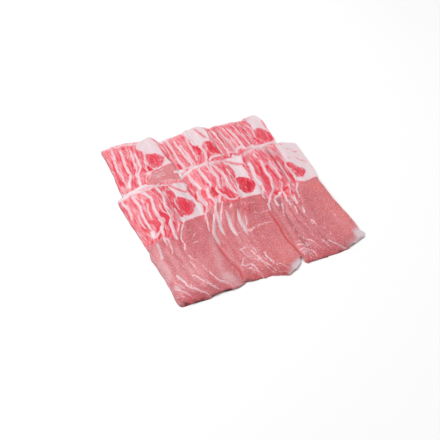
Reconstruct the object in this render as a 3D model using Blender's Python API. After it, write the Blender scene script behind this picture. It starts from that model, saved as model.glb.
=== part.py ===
"""Thinly sliced pork loin, laid out for cooking.

Six bundles lie in two rows of three, the front row over the near ends of the back row. Each bundle is six
thin slices, every one folded in two along its length and laid a finger's width to the right of the one below,
like roof tiles. A slice is narrow at its streaky belly end, which lies at the back, and wide at its lean end.

Every slice is one solid. It is laid on the pile as a limp sheet: it sags, bends over what is below, and ends
up clear of it by a small gap.
"""

import math

import bmesh
import bpy
import numpy as np
from mathutils import Matrix

# Sizes of one folded slice, in metres. Its long side runs along -Y, from the belly end to the lean end.
LEAF = 0.0008  # thickness of one of its two leaves
WIDENS_FROM, WIDENS_TO = 0.36, 0.58  # shares of the length between which the left side swings out
FOLD_RADIUS = 0.0014  # how far the fold on the right stands out past the flat leaves
GROOVE = 0.0018  # depth of the groove between the leaves on the left
SLIT = 0.0003  # width of that groove at its mouth
WAVE = 0.0009  # depth of the waves along the sides

# The six slices of a bundle, from the lowest up: how far the far left corner is rounded off along and across the
# slice, how far the left side swings out towards the lean end, and how far the near left corner is rounded off.
FAR_LEFT_ALONG = (0.008, 0.008, 0.008, 0.009, 0.011, 0.014)
FAR_LEFT_ACROSS = (0.0035, 0.0035, 0.004, 0.005, 0.007, 0.011)
SWING_OUT = (0.000, 0.005, 0.014, 0.018, 0.018, 0.015)
CORNER_ACROSS = (0.003, 0.008, 0.017, 0.025, 0.023, 0.017)
CORNER_ALONG = (0.006, 0.020, 0.036, 0.048, 0.048, 0.050)

# How the slices lie
GAP = 0.0002  # between a slice and what is under it
SAG = 0.0020  # how far a sheet drops in the first sweep of its settling
LAST_SAG = 0.00005  # and in the last
SWEEPS = 40
STIFFNESS = 0.4  # share of the way to its neighbours that a point goes in the first sweep
SLIDE = 0.0015  # most that a slice is shifted along the bundle
FAN = 0.5  # most that a slice is turned in its bundle by chance, in degrees

# Each bundle: where its first slice's far left corner is, the turns of its first and last slice in degrees, the
# first slice's length, how much longer each next one is, their width at the belly end, their rounded corners on
# the right (run along, run across), and how far each slice starts to the right of the first and nearer than it.
BUNDLES = {
    "a": dict(corner=(-0.1070, 0.1385), turns=(0.4, 0.4), length=0.153, longer=-0.005, width=0.034,
              far_right=(0.030, 0.007), near_right=(0.010, 0.006),
              steps=(0.0000, 0.0110, 0.0200, 0.0300, 0.0360, 0.0410),
              backs=(0.0000, 0.0005, 0.0010, 0.0015, 0.0020, 0.0025)),
    "b": dict(corner=(-0.0375, 0.1210), turns=(5.5, 2.6), length=0.153, longer=-0.005, width=0.033,
              far_right=(0.030, 0.007), near_right=(0.010, 0.006),
              steps=(0.0000, 0.0100, 0.0180, 0.0270, 0.0340, 0.0400),
              backs=(0.0000, 0.0005, 0.0010, 0.0015, 0.0015, 0.0010)),
    "c": dict(corner=(0.0280, 0.1200), turns=(-0.5, -0.5), length=0.153, longer=-0.005, width=0.029,
              far_right=(0.014, 0.005), near_right=(0.010, 0.006),
              steps=(0.0000, 0.0090, 0.0180, 0.0270, 0.0360, 0.0440),
              backs=(0.0000, 0.0005, 0.0010, 0.0015, 0.0020, 0.0000)),
    "d": dict(corner=(-0.1135, 0.0440), turns=(4.8, 2.8), length=0.171, longer=0.0002, width=0.033,
              far_right=(0.006, 0.003), near_right=(0.010, 0.006),
              steps=(0.0000, 0.0068, 0.0133, 0.0300, 0.0430, 0.0500),
              backs=(0.0000, 0.0025, 0.0055, 0.0075, 0.0090, 0.0070)),
    "e": dict(corner=(-0.0350, 0.0500), turns=(0.4, 0.4), length=0.175, longer=0.0012, width=0.034,
              far_right=(0.006, 0.003), near_right=(0.036, 0.012),
              steps=(0.0000, 0.0105, 0.0230, 0.0357, 0.0452, 0.0505),
              backs=(0.0000, 0.0005, 0.0010, 0.0015, 0.0020, 0.0025)),
    "f": dict(corner=(0.0435, 0.0510), turns=(-0.4, -1.2), length=0.180, longer=-0.001, width=0.029,
              far_right=(0.006, 0.003), near_right=(0.005, 0.003),
              steps=(0.0000, 0.0165, 0.0275, 0.0350, 0.0420, 0.0480),
              backs=(0.0000, 0.0005, 0.0010, 0.0015, 0.0000, -0.0010)),
}

# Mesh of one slice
STATIONS = 12  # cross-sections along the length
CROWDING = 0.6  # how much closer together they are towards both ends, from 0 to 1
COLUMNS = 6  # points across one leaf, of which the second is at the depth of the groove
SHARP_EDGE = 50  # edges bent by more degrees than this are drawn sharp
CELL = 0.0005  # grid on which the pile's height is kept
EDGE_REACH = 0.8  # how far past a triangle's edges its plane still counts, in cells
TABLE_FROM, TABLE_TO = (-0.16, -0.17), (0.16, 0.17)  # corners of that grid
LIFTS = 60  # most rounds of raising a sheet off the pile in one sweep
SEED = 7

# Colours from the belly end of the pile to the lean end, and the finish of wet meat
ROSE = (0.78, 0.36, 0.38)
PALE_ROSE = (0.82, 0.47, 0.47)
ROUGHNESS = 0.38


def clear_scene():
    for old in list(bpy.data.objects):
        bpy.data.objects.remove(old, do_unlink=True)


def smooth_step(start, end, value):
    t = min(max((value - start) / (end - start), 0.0), 1.0)
    return t * t * (3.0 - 2.0 * t)


def corner_inset(distance, corner):
    """How far an elliptical corner pulls the side in, at this distance from the slice's end."""
    run, inset = corner
    if distance >= run:
        return 0.0
    t = 1.0 - distance / run
    return inset * (1.0 - math.sqrt(max(1.0 - t * t, 0.0)))


def station_share(t):
    """Share of the length at which a cross-section lies, from its share of the count."""
    return (1.0 - CROWDING) * t + CROWDING * (0.5 - 0.5 * math.cos(math.pi * t))


class Slice:
    """One folded slice: its outline in its own axes, and its place in the pile."""

    def __init__(self, bundle, number, bundle_place, own_place, length, lie, draw):
        self.bundle = bundle
        self.number = number
        self.bundle_place = bundle_place
        self.own_place = own_place
        self.length = length
        self.tail_width = lie["width"] * draw.uniform(0.95, 1.06)
        self.far_left = (FAR_LEFT_ALONG[number - 1], FAR_LEFT_ACROSS[number - 1])
        self.far_right = lie["far_right"]
        self.near_right = lie["near_right"]
        self.swing = SWING_OUT[number - 1] * draw.uniform(0.85, 1.1)
        self.near_left = (CORNER_ALONG[number - 1], CORNER_ACROSS[number - 1] * draw.uniform(0.9, 1.1))
        self.wave_left, self.wave_right = draw.uniform(0.0, 2.0 * math.pi, 2)
        self.shares = [station_share(j / (STATIONS - 1)) for j in range(STATIONS)]
        self.plan = np.array([self.section_plan(share) for share in self.shares])

    def sides(self, share):
        """x of the left side and of the fold on the right, at this share of the length."""
        from_far = share * self.length
        from_near = (1.0 - share) * self.length
        left = -self.swing * smooth_step(WIDENS_FROM, WIDENS_TO, share)
        left += WAVE * math.sin(self.wave_left + 9.0 * share)
        left += corner_inset(from_far, self.far_left) + corner_inset(from_near, self.near_left)
        right = self.tail_width + WAVE * math.sin(self.wave_right + 6.0 * share)
        right -= corner_inset(from_far, self.far_right) + corner_inset(from_near, self.near_right)
        return left, right

    def section_plan(self, share):
        """x of the underside's points across one section: the left side, the groove's depth, the rest and the
        fold."""
        left, right = self.sides(share)
        across = np.linspace(left, right - FOLD_RADIUS, COLUMNS - 1)
        return [left, left + GROOVE, *across[1:], right]

    def local_xy(self):
        """Plan of the underside, stations by columns, in the slice's own axes."""
        y = -np.array(self.shares) * self.length
        return np.stack([self.plan, np.repeat(y[:, None], COLUMNS + 1, axis=1)], axis=2)

    def pile_xy(self, xy):
        """The same points in the pile's axes."""
        place = np.array(self.bundle_place @ self.own_place)
        return xy @ place[:2, :2].T + place[:2, 3]

    def points(self):
        """All points of its rings in the pile's axes."""
        points = self.rings.reshape(-1, 3).copy()
        points[:, :2] = self.pile_xy(points[:, :2])
        return points


def underside_triangles():
    """Corner numbers of the triangles under a slice, on its grid of stations by columns."""
    triangles = []
    for j in range(STATIONS - 1):
        for i in range(COLUMNS):
            a = j * (COLUMNS + 1) + i
            b = a + COLUMNS + 1
            triangles += [(a, a + 1, b + 1), (a, b + 1, b)]
    return np.array(triangles)


class Pile:
    """The height of what has been laid so far, on a fine grid over the table."""

    def __init__(self, low, high):
        self.low = np.array(low)
        self.height = np.zeros(np.ceil((np.array(high) - self.low) / CELL).astype(int) + 1)

    def samples(self, corners):
        """Grid cells whose centres lie in a triangle seen from above or just past its edges, and their weights
        at its corners."""
        a, b, c = (corners - self.low) / CELL
        first = np.ceil(np.min([a, b, c], axis=0) - EDGE_REACH - 1e-9).astype(int)
        last = np.floor(np.max([a, b, c], axis=0) + EDGE_REACH + 1e-9).astype(int)
        area = (b[0] - a[0]) * (c[1] - a[1]) - (b[1] - a[1]) * (c[0] - a[0])
        if abs(area) < 1e-9 or (last < first).any():
            return np.zeros((0, 2), int), np.zeros((0, 3))
        x, y = np.meshgrid(np.arange(first[0], last[0] + 1), np.arange(first[1], last[1] + 1), indexing="ij")
        v = ((x - a[0]) * (c[1] - a[1]) - (y - a[1]) * (c[0] - a[0])) / area
        w = ((b[0] - a[0]) * (y - a[1]) - (b[1] - a[1]) * (x - a[0])) / area
        weights = np.stack([1.0 - v - w, v, w], axis=-1)
        opposite = np.array([math.dist(b, c), math.dist(c, a), math.dist(a, b)])
        inside = (weights > -EDGE_REACH * opposite / abs(area) - 1e-9).all(axis=-1)
        return np.stack([x[inside], y[inside]], axis=1), weights[inside]

    def add(self, points, triangles):
        """Raises the pile to the top of a new solid, and a cell's width past its edges and creases."""
        for triangle in triangles:
            corners = points[list(triangle)]
            cells, weights = self.samples(corners[:, :2])
            heights = np.minimum(weights @ corners[:, 2], corners[:, 2].max())
            np.maximum.at(self.height, (cells[:, 0], cells[:, 1]), heights)


def contacts(pile, xy, triangles):
    """Where a sheet may touch the pile: sample points under its triangles, each with its corners' numbers, their
    weights and the height to stay above."""
    corners, weights, least = [], [], []
    for triangle in triangles:
        cells, weight = pile.samples(xy[triangle])
        height = pile.height[cells[:, 0], cells[:, 1]]
        covered = height > 0.0
        corners.append(np.repeat(triangle[None], covered.sum(), axis=0))
        weights.append(weight[covered])
        least.append(height[covered] + GAP)
    return np.concatenate(corners), np.concatenate(weights), np.concatenate(least)


def lifted(z, corners, weights, least):
    """The sheet's heights, raised just enough for every sample to clear the pile."""
    share = weights / (weights**2).sum(axis=1)[:, None]
    for _ in range(LIFTS):
        short = np.maximum(least - (weights * z[corners]).sum(axis=1), 0.0)
        if short.max(initial=0.0) < 1e-6:
            break
        push = np.zeros(len(z))
        np.maximum.at(push, corners, short[:, None] * share)
        z = z + push
    return z


def line_mean(z, at):
    """For each point along the first axis, the height on the straight line between its two neighbours."""
    mean = z.copy()
    t = (at[1:-1] - at[:-2]) / (at[2:] - at[:-2])
    mean[1:-1] = z[:-2] * (1.0 - t) + z[2:] * t
    mean[0] = (z[0] + z[1]) / 2.0
    mean[-1] = (z[-1] + z[-2]) / 2.0
    return mean


def neighbour_mean(z, plan):
    """For each point of the sheet, the mean of the heights that its neighbours along and across give it."""
    z = z.reshape(STATIONS, COLUMNS + 1)
    along = line_mean(z, plan[:, :, 1])
    across = line_mean(z.T, plan[:, :, 0].T).T
    return ((along + across) / 2.0).ravel()


def settle(piece, pile, triangles):
    """Heights of the slice's underside once it has sagged onto the pile, in smaller and smaller steps."""
    plan = piece.local_xy()
    xy = piece.pile_xy(plan).reshape(-1, 2)
    corners, weights, least = contacts(pile, xy, triangles)
    table = np.zeros((STATIONS, COLUMNS + 1))
    table[:, -1] = LEAF
    table = table.ravel()
    z = table + least.max(initial=0.0)
    for sweep in range(SWEEPS):
        step = (1.0 - sweep / SWEEPS) ** 2
        z = z + STIFFNESS * step * (neighbour_mean(z, plan) - z) - SAG * step - LAST_SAG
        z = lifted(np.maximum(z, table), corners, weights, least)
    return z.reshape(STATIONS, COLUMNS + 1)


def rings(piece, under):
    """The slice's cross-sections as closed rings of points, in its own axes: the underside from left to right
    with the fold, the top from right to left, and the groove."""
    xy = piece.local_xy()
    made = []
    for (x, y), z in zip(zip(xy[:, :, 0], xy[:, 0, 1]), under):
        bottom = list(zip(x, z))
        top = [(px, pz + 2.0 * LEAF) for px, pz in reversed(bottom[:-1])]
        groove = [(x[0], z[0] + LEAF + SLIT / 2.0), (x[1], z[1] + LEAF), (x[0], z[0] + LEAF - SLIT / 2.0)]
        made.append([(px, y, pz) for px, pz in bottom + top + groove])
    return np.array(made)


def ring_triangles(count):
    """Triangles between neighbouring rings. All faces of both leaves are split along the same diagonals."""
    leftward = set(range(COLUMNS, 2 * COLUMNS)) | {count - 2}
    triangles = []
    for j in range(STATIONS - 1):
        for i in range(count):
            a, b = j * count + i, j * count + (i + 1) % count
            c, d = b + count, a + count
            triangles += [(a, b, d), (b, c, d)] if i in leftward else [(a, b, c), (a, c, d)]
    return triangles


def slice_mesh(piece):
    """A closed mesh through the rings, with a flat face at each end."""
    count = piece.rings.shape[1]
    bm = bmesh.new()
    points = [bm.verts.new(p) for p in piece.rings.reshape(-1, 3)]
    for a, b, c in ring_triangles(count):
        bm.faces.new((points[a], points[b], points[c]))
    ends = [bm.faces.new(points[:count]), bm.faces.new(points[-count:])]
    bm.normal_update()
    bmesh.ops.triangulate(bm, faces=ends, ngon_method="EAR_CLIP")
    bmesh.ops.recalc_face_normals(bm, faces=bm.faces)
    mesh = bpy.data.meshes.new(f"slice_{piece.bundle}{piece.number}")
    bm.to_mesh(mesh)
    bm.free()
    mesh.shade_smooth()
    mesh.set_sharp_from_angle(angle=math.radians(SHARP_EDGE))
    return mesh


def meat_material(name, share):
    """Wet raw pork, a little paler on the upper slices of a bundle."""
    material = bpy.data.materials.new(name)
    material.use_nodes = True
    shader = material.node_tree.nodes["Principled BSDF"]
    colour = [a + (b - a) * share for a, b in zip(ROSE, PALE_ROSE)]
    shader.inputs["Base Color"].default_value = (*colour, 1.0)
    shader.inputs["Roughness"].default_value = ROUGHNESS
    shader.inputs["Metallic"].default_value = 0.0
    return material


def lay_pile():
    """All slices in the order in which they are laid, each with its rings of points."""
    draw = np.random.default_rng(SEED)
    pile = Pile(TABLE_FROM, TABLE_TO)
    triangles = underside_triangles()
    laid = []
    for bundle, lie in BUNDLES.items():
        first_turn, last_turn = lie["turns"]
        bundle_place = Matrix.Translation((*lie["corner"], 0.0)) @ Matrix.Rotation(math.radians(first_turn), 4, "Z")
        for number, step in enumerate(lie["steps"], start=1):
            slide = draw.uniform(-SLIDE, SLIDE) - lie["backs"][number - 1]
            own_turn = (last_turn - first_turn) * (number - 1) / (len(lie["steps"]) - 1)
            fan = math.radians(own_turn + draw.uniform(-FAN, FAN))
            own_place = Matrix.Translation((step, slide, 0.0)) @ Matrix.Rotation(fan, 4, "Z")
            length = lie["length"] + (number - 1) * lie["longer"]
            piece = Slice(bundle, number, bundle_place, own_place, length, lie, draw)
            piece.rings = rings(piece, settle(piece, pile, triangles))
            pile.add(piece.points(), ring_triangles(piece.rings.shape[1]))
            laid.append(piece)
    return laid


def build():
    clear_scene()
    laid = lay_pile()
    everything = np.concatenate([piece.points() for piece in laid])
    middle = (everything.min(axis=0) + everything.max(axis=0)) / 2.0
    root = bpy.data.objects.new("sliced_pork", None)
    root.location = (-middle[0], -middle[1], 0.0)
    bpy.context.collection.objects.link(root)
    holders = {}
    for piece in laid:
        if piece.bundle not in holders:
            holder = bpy.data.objects.new(f"bundle_{piece.bundle}", None)
            holder.parent = root
            holder.matrix_local = piece.bundle_place
            bpy.context.collection.objects.link(holder)
            holders[piece.bundle] = holder
        number = f"{piece.bundle}{piece.number}"
        thing = bpy.data.objects.new(f"slice_{number}", slice_mesh(piece))
        thing.parent = holders[piece.bundle]
        thing.matrix_local = piece.own_place
        thing.data.materials.append(meat_material(f"pork_{number}", (piece.number - 1) / 5.0))
        bpy.context.collection.objects.link(thing)


build()
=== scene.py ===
"""Thinly sliced pork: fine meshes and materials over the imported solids.

Six bundles of six folded slices lie in two rows. Every slice is laid in turn on a fine height map of the
pile: its underside bends over the edges below it and bridges the hollows between them, as a limp sheet does.
"""

import math

import bpy
import numpy as np
from bpy.props import FloatProperty, FloatVectorProperty, PointerProperty, StringProperty
from mathutils import Matrix, Vector


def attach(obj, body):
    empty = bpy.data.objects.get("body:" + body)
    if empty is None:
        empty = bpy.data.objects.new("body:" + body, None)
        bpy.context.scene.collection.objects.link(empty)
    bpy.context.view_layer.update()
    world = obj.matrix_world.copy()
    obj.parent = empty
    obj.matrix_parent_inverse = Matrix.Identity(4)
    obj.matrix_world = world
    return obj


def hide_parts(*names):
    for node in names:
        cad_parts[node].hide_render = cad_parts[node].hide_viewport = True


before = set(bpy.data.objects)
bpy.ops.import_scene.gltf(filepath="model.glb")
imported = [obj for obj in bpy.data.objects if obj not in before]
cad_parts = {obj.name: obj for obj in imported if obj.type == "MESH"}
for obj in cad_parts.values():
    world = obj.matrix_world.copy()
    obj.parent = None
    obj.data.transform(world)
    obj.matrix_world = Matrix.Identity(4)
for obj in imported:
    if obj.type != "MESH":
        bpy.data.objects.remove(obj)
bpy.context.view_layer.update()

bl_info = {
    "name": "Sliced pork",
    "version": (1, 0, 0),
    "blender": (4, 5, 0),
    "location": "View3D > Sidebar > Sliced pork",
    "description": "Lays thin folded slices of raw pork in two rows of bundles",
    "category": "Add Mesh",
}

MM = 0.001

# ---------------------------------------------------------------- the slices' plan, as in the solids

WIDENS_FROM, WIDENS_TO = 0.36, 0.58
WAVE = 0.9 * MM
FAR_LEFT_ALONG = (0.008, 0.008, 0.008, 0.009, 0.011, 0.014)
FAR_LEFT_ACROSS = (0.0035, 0.0035, 0.004, 0.005, 0.007, 0.011)
SWING_OUT = (0.000, 0.005, 0.014, 0.018, 0.018, 0.015)
CORNER_ACROSS = (0.003, 0.008, 0.017, 0.025, 0.023, 0.017)
CORNER_ALONG = (0.006, 0.020, 0.036, 0.048, 0.048, 0.050)
SLIDE = 1.5 * MM
FAN = 0.5
SEED = 7
BUNDLES = {
    "a": dict(corner=(-0.1070, 0.1385), turns=(0.4, 0.4), length=0.153, longer=-0.005, width=0.034,
              far_right=(0.030, 0.007), near_right=(0.010, 0.006),
              steps=(0.0000, 0.0110, 0.0200, 0.0300, 0.0360, 0.0410),
              backs=(0.0000, 0.0005, 0.0010, 0.0015, 0.0020, 0.0025)),
    "b": dict(corner=(-0.0375, 0.1210), turns=(5.5, 2.6), length=0.153, longer=-0.005, width=0.033,
              far_right=(0.030, 0.007), near_right=(0.010, 0.006),
              steps=(0.0000, 0.0100, 0.0180, 0.0270, 0.0340, 0.0400),
              backs=(0.0000, 0.0005, 0.0010, 0.0015, 0.0015, 0.0010)),
    "c": dict(corner=(0.0280, 0.1200), turns=(-0.5, -0.5), length=0.153, longer=-0.005, width=0.029,
              far_right=(0.014, 0.005), near_right=(0.010, 0.006),
              steps=(0.0000, 0.0090, 0.0180, 0.0270, 0.0360, 0.0440),
              backs=(0.0000, 0.0005, 0.0010, 0.0015, 0.0020, 0.0000)),
    "d": dict(corner=(-0.1135, 0.0440), turns=(4.8, 2.8), length=0.171, longer=0.0002, width=0.033,
              far_right=(0.006, 0.003), near_right=(0.010, 0.006),
              steps=(0.0000, 0.0068, 0.0133, 0.0300, 0.0430, 0.0500),
              backs=(0.0000, 0.0025, 0.0055, 0.0075, 0.0090, 0.0070)),
    "e": dict(corner=(-0.0350, 0.0500), turns=(0.4, 0.4), length=0.175, longer=0.0012, width=0.034,
              far_right=(0.006, 0.003), near_right=(0.036, 0.012),
              steps=(0.0000, 0.0105, 0.0230, 0.0357, 0.0452, 0.0505),
              backs=(0.0000, 0.0005, 0.0010, 0.0015, 0.0020, 0.0025)),
    "f": dict(corner=(0.0435, 0.0510), turns=(-0.4, -1.2), length=0.180, longer=-0.001, width=0.029,
              far_right=(0.006, 0.003), near_right=(0.005, 0.003),
              steps=(0.0000, 0.0165, 0.0275, 0.0350, 0.0420, 0.0480),
              backs=(0.0000, 0.0005, 0.0010, 0.0015, 0.0000, -0.0010)),
}
BACK_ROW = "abc"
# How far the ends reach out past the solids' plan: distances from the left side, then reaches, in millimetres
FAR_REACH = {
    "a1": ((0, 10), (2, 2)), "a2": ((0, 10), (1.5, 0)), "a3": ((0, 10), (-2, -3)),
    "a4": ((0, 8), (-4.5, -5.5)), "a5": ((0, 8), (-6, -6.5)),
    "a6": ((0, 6, 14, 19, 30), (-6.5, -4, 0.5, -1, -5)), "b1": ((0, 10), (4, 3.5)),
    "b2": ((0, 10), (2.5, 1)), "b4": ((0, 8), (1, 1.5)), "b5": ((0, 8), (2, 2.5)),
    "b6": ((0, 10, 16, 28), (1, 2.5, 0, -3)), "c1": ((0, 10), (2.5, 2.5)), "c2": ((0, 10), (2, 1)),
    "c4": ((0, 10), (-1, -1)), "c5": ((0, 10), (-1.5, -1.5)),
    "c6": ((0, 6, 14, 18, 26), (-4, -2, 3, 2.5, -1)), "d1": ((0, 8), (4, 4.5)), "d2": ((0, 8), (4.5, 4.5)),
    "d3": ((0, 8, 18), (4.5, 4, 1)), "e1": ((0, 10), (4.5, 4)), "e2": ((0, 8, 16), (2.5, 1.5, 0)),
}
# Slices, the side that bends to the right, by how much, and where along it starts, is full, fades and ends
SWELLS = (
    ("d1 d2 d3 d4", "left", 3.5, 85, 105, 135, 158),
    ("f6", "right", 4.0, 159, 173, 200, 201),
    ("f6", "right", -4.8, 50, 72, 100, 150),
)
SOLID_STATIONS = 12
SOLID_CROWDING = 0.6

# ---------------------------------------------------------------- the fine meshes

FIELD = 0.75 * MM  # grid of the height maps
DEEPEST = 22 * MM  # highest step that a slice is laid over
ROW_BELLY, ROW_LEAN = 0.85 * MM, 1.2 * MM  # rows of points along a slice, in its streaky end and in the rest
TOP_ROW_BELLY, TOP_ROW_LEAN = 0.65 * MM, 0.8 * MM  # the same on the uppermost slices
COLUMN_FINE = 0.65 * MM  # columns of points where a slice shows
SHOWS = 22 * MM  # how far in from its left side a covered slice is made fine
COVERED_COLUMNS = 6  # columns in the rest of it
BELLY = 62 * MM  # length of the streaky end
UNDER_COLUMNS = 9
FOLD_POINTS = 5
EDGE_ROUND = 0.45 * MM
GROOVE = 2.4 * MM
MOUTH = 0.25 * MM
LIP = 0.9 * MM
END_ROUND = (0.0, 0.06, 0.22, 0.5, 1.0)  # rows by which an end is rounded, in edge radii
EDGE_WAVES = (31 * MM, 17 * MM)  # lengths of the small waves of a cut edge
LIP_WAVES = (52 * MM, 21 * MM)
JAG_WAVES = (15 * MM, 7.1 * MM, 3.9 * MM)  # of the near end
JAG = 1.1 * MM
LEAF_WAVES_ALONG, LEAF_WAVES_ACROSS = (37 * MM, 19 * MM), (21 * MM, 11 * MM)
LEAF_UNEVEN = 0.14  # share by which the thickness varies
MARGIN = 6 * MM  # of a slice's height map round the slice
TABLE_CORNER, TABLE_CELLS = (-0.15, -0.16), (400, 430)  # of the pile's height map
TOUCHING = 0.02 * MM  # gap where a slice clings to what is below it


def smooth_step(start, end, value):
    t = np.clip((np.asarray(value, float) - start) / (end - start), 0.0, 1.0)
    return t * t * (3.0 - 2.0 * t)


def corner_inset(distance, corner):
    """How far an elliptical corner pulls the side in, at this distance from the slice's end."""
    run, inset = corner
    t = np.clip(1.0 - np.asarray(distance, float) / run, 0.0, 1.0)
    return inset * (1.0 - np.sqrt(1.0 - t * t))


def ripple(at, phases, wavelengths):
    """Irregular waves of height about 1 along a line, in metres."""
    total = np.zeros_like(np.asarray(at, float))
    for phase, wavelength in zip(phases, wavelengths):
        total = total + np.sin(phase + 2.0 * math.pi * at / wavelength)
    return total / len(wavelengths)


def streaky(along, from_share, to_share):
    """1 in the streaky end, 0 past it. The change is between two shares of its length."""
    return 1.0 - smooth_step(BELLY * from_share, BELLY * to_share, along)


class Slice:
    """One folded slice: its outline in its own axes, and its place in the pile."""

    def __init__(self, bundle, number, bundle_place, own_place, length, lie, draw):
        self.bundle = bundle
        self.number = number
        self.key = f"{bundle}{number}"
        self.name = f"slice_{self.key}"
        self.place = np.array(bundle_place @ own_place)
        self.length = length
        self.tail_width = lie["width"] * draw.uniform(0.95, 1.06)
        self.far_left = (FAR_LEFT_ALONG[number - 1], FAR_LEFT_ACROSS[number - 1])
        self.far_right = lie["far_right"]
        self.near_right = lie["near_right"]
        self.swing = SWING_OUT[number - 1] * draw.uniform(0.85, 1.1)
        self.near_left = (CORNER_ALONG[number - 1], CORNER_ACROSS[number - 1] * draw.uniform(0.9, 1.1))
        self.wave_left, self.wave_right = draw.uniform(0.0, 2.0 * math.pi, 2)
        own = np.random.default_rng(1000 + 10 * ord(bundle) + number)
        self.phases = own.uniform(0.0, 2.0 * math.pi, 24)
        self.seed = float(own.uniform(0.0, 50.0))

    def plain_sides(self, share):
        """x of the left side and of the fold on the right, as the solid has them."""
        from_far = share * self.length
        from_near = (1.0 - share) * self.length
        left = -self.swing * smooth_step(WIDENS_FROM, WIDENS_TO, share)
        left = left + WAVE * np.sin(self.wave_left + 9.0 * share)
        left = left + corner_inset(from_far, self.far_left) + corner_inset(from_near, self.near_left)
        right = self.tail_width + WAVE * np.sin(self.wave_right + 6.0 * share)
        right = right - corner_inset(from_far, self.far_right) - corner_inset(from_near, self.near_right)
        return left, right

    def sides(self, share):
        """The same with the small waves of the cut edge, which are larger in the streaky end."""
        left, right = self.plain_sides(share)
        along = share * self.length
        small = ripple(along, self.phases[0:2], EDGE_WAVES)
        left = left + small * (0.3 + 0.5 * streaky(along, 0.9, 1.3) * (self.number > 1)) * MM
        for keys, side, size, starts, full, fades, ends in SWELLS:
            if self.key in keys:
                shift = smooth_step(starts * MM, full * MM, along)
                shift = shift * (1.0 - smooth_step(fades * MM, ends * MM, along))
                left = left + size * MM * shift * (side == "left")
                right = right + size * MM * shift * (side == "right")
        if self.bundle == "e":  # its near right corner is cut off straight rather than round
            run, inset = self.near_right
            t = np.clip(1.0 - (self.length - along) / run, 0.0, 1.0)
            right = right - inset * (t**1.4 - 1.0 + np.sqrt(1.0 - t * t)) * 0.8
        right = right + ripple(along, self.phases[3:5], EDGE_WAVES) * 0.35 * MM
        return left, right

    def lip(self, along):
        """How far the lower leaf shows past the upper one."""
        waves = 0.6 + 0.8 * ripple(along, self.phases[5:7], LIP_WAVES)
        return LIP * waves * streaky(along, 0.7, 1.1) * (self.number > 1)

    def jag(self, across):
        """How far the near end reaches out, from the ragged cut."""
        reach = ripple(across, self.phases[7:10], JAG_WAVES) * JAG
        if self.bundle in BACK_ROW:
            return reach
        x, y = self.to_frame(self.sides(1.0)[0] + across, -self.length - reach)
        limit = height_of_line(NEAR_LIMIT[self.bundle], x) + uneven("near_end", x, y)
        return reach - np.maximum(limit - y, 0.0) * MM

    def far(self, across):
        """How far the far end reaches out."""
        return np.interp(across / MM, *FAR_REACH.get(self.key, ((0, 1), (0, 0)))) * MM

    def leaf(self, across, along):
        """Thickness of one leaf."""
        thin_edge = 1.0 - smooth_step(-0.5 * MM, 8.0 * MM, across)
        uneven_leaf = (ripple(along, self.phases[10:12], LEAF_WAVES_ALONG)
                       * ripple(across, self.phases[12:14], LEAF_WAVES_ACROSS))
        under_next_row = 0.5 * smooth_step(0.72, 1.0, along / self.length) if self.bundle in BACK_ROW else 0.0
        end = 0.6 * smooth_step(self.length - 3.0 * MM, self.length, along) if self.number > 1 else 0.0
        lean = 1.0 - streaky(along, 0.9, 1.3)
        thin = np.maximum(0.97 * thin_edge * np.maximum(lean, 0.7 * (self.number == 1)), end)
        return self.thickness * (1.0 - thin) * (1.0 + LEAF_UNEVEN * uneven_leaf) * (1.0 - under_next_row)

    def to_pile(self, x, y):
        p = self.place
        return p[0, 0] * x + p[0, 1] * y + p[0, 3], p[1, 0] * x + p[1, 1] * y + p[1, 3]

    def from_pile(self, x, y):
        p = self.place
        dx, dy = x - p[0, 3], y - p[1, 3]
        return p[0, 0] * dx + p[1, 0] * dy, p[0, 1] * dx + p[1, 1] * dy

    def to_frame(self, x, y):
        """Millimetres on the table from the frame's origin."""
        x, y = self.to_pile(x, y)
        return (x - self.middle[0]) / MM, (y - self.middle[1]) / MM


def plan_of_slices():
    """All slices in the order in which they are laid."""
    draw = np.random.default_rng(SEED)
    slices = []
    for bundle, lie in BUNDLES.items():
        first_turn, last_turn = lie["turns"]
        bundle_turn = Matrix.Rotation(math.radians(first_turn), 4, "Z")
        bundle_place = Matrix.Translation((*lie["corner"], 0.0)) @ bundle_turn
        for number, step in enumerate(lie["steps"], start=1):
            slide = draw.uniform(-SLIDE, SLIDE) - lie["backs"][number - 1]
            own_turn = (last_turn - first_turn) * (number - 1) / (len(lie["steps"]) - 1)
            fan = math.radians(own_turn + draw.uniform(-FAN, FAN))
            own_place = Matrix.Translation((step, slide, 0.0)) @ Matrix.Rotation(fan, 4, "Z")
            length = lie["length"] + (number - 1) * lie["longer"]
            slices.append(Slice(bundle, number, bundle_place, own_place, length, lie, draw))
    return slices


def middle_of(slices):
    """Middle of the solids' outline, which is the frame's origin."""
    t = np.linspace(0.0, 1.0, SOLID_STATIONS)
    share = (1.0 - SOLID_CROWDING) * t + SOLID_CROWDING * (0.5 - 0.5 * np.cos(math.pi * t))
    xs, ys = [], []
    for piece in slices:
        left, right = piece.plain_sides(share)
        for side in (left, right):
            x, y = piece.to_pile(side, -share * piece.length)
            xs.append(x)
            ys.append(y)
    xs, ys = np.concatenate(xs), np.concatenate(ys)
    return (xs.min() + xs.max()) / 2.0, (ys.min() + ys.max()) / 2.0


# ---------------------------------------------------------------- draping

def shifted(field, steps, axis, fill):
    """The field moved by some cells along an axis."""
    moved = np.full_like(field, fill)
    source = [slice(None), slice(None)]
    target = [slice(None), slice(None)]
    if steps > 0:
        source[axis], target[axis] = slice(None, -steps), slice(steps, None)
    else:
        source[axis], target[axis] = slice(-steps, None), slice(None, steps)
    moved[tuple(target)] = field[tuple(source)]
    return moved


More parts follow.
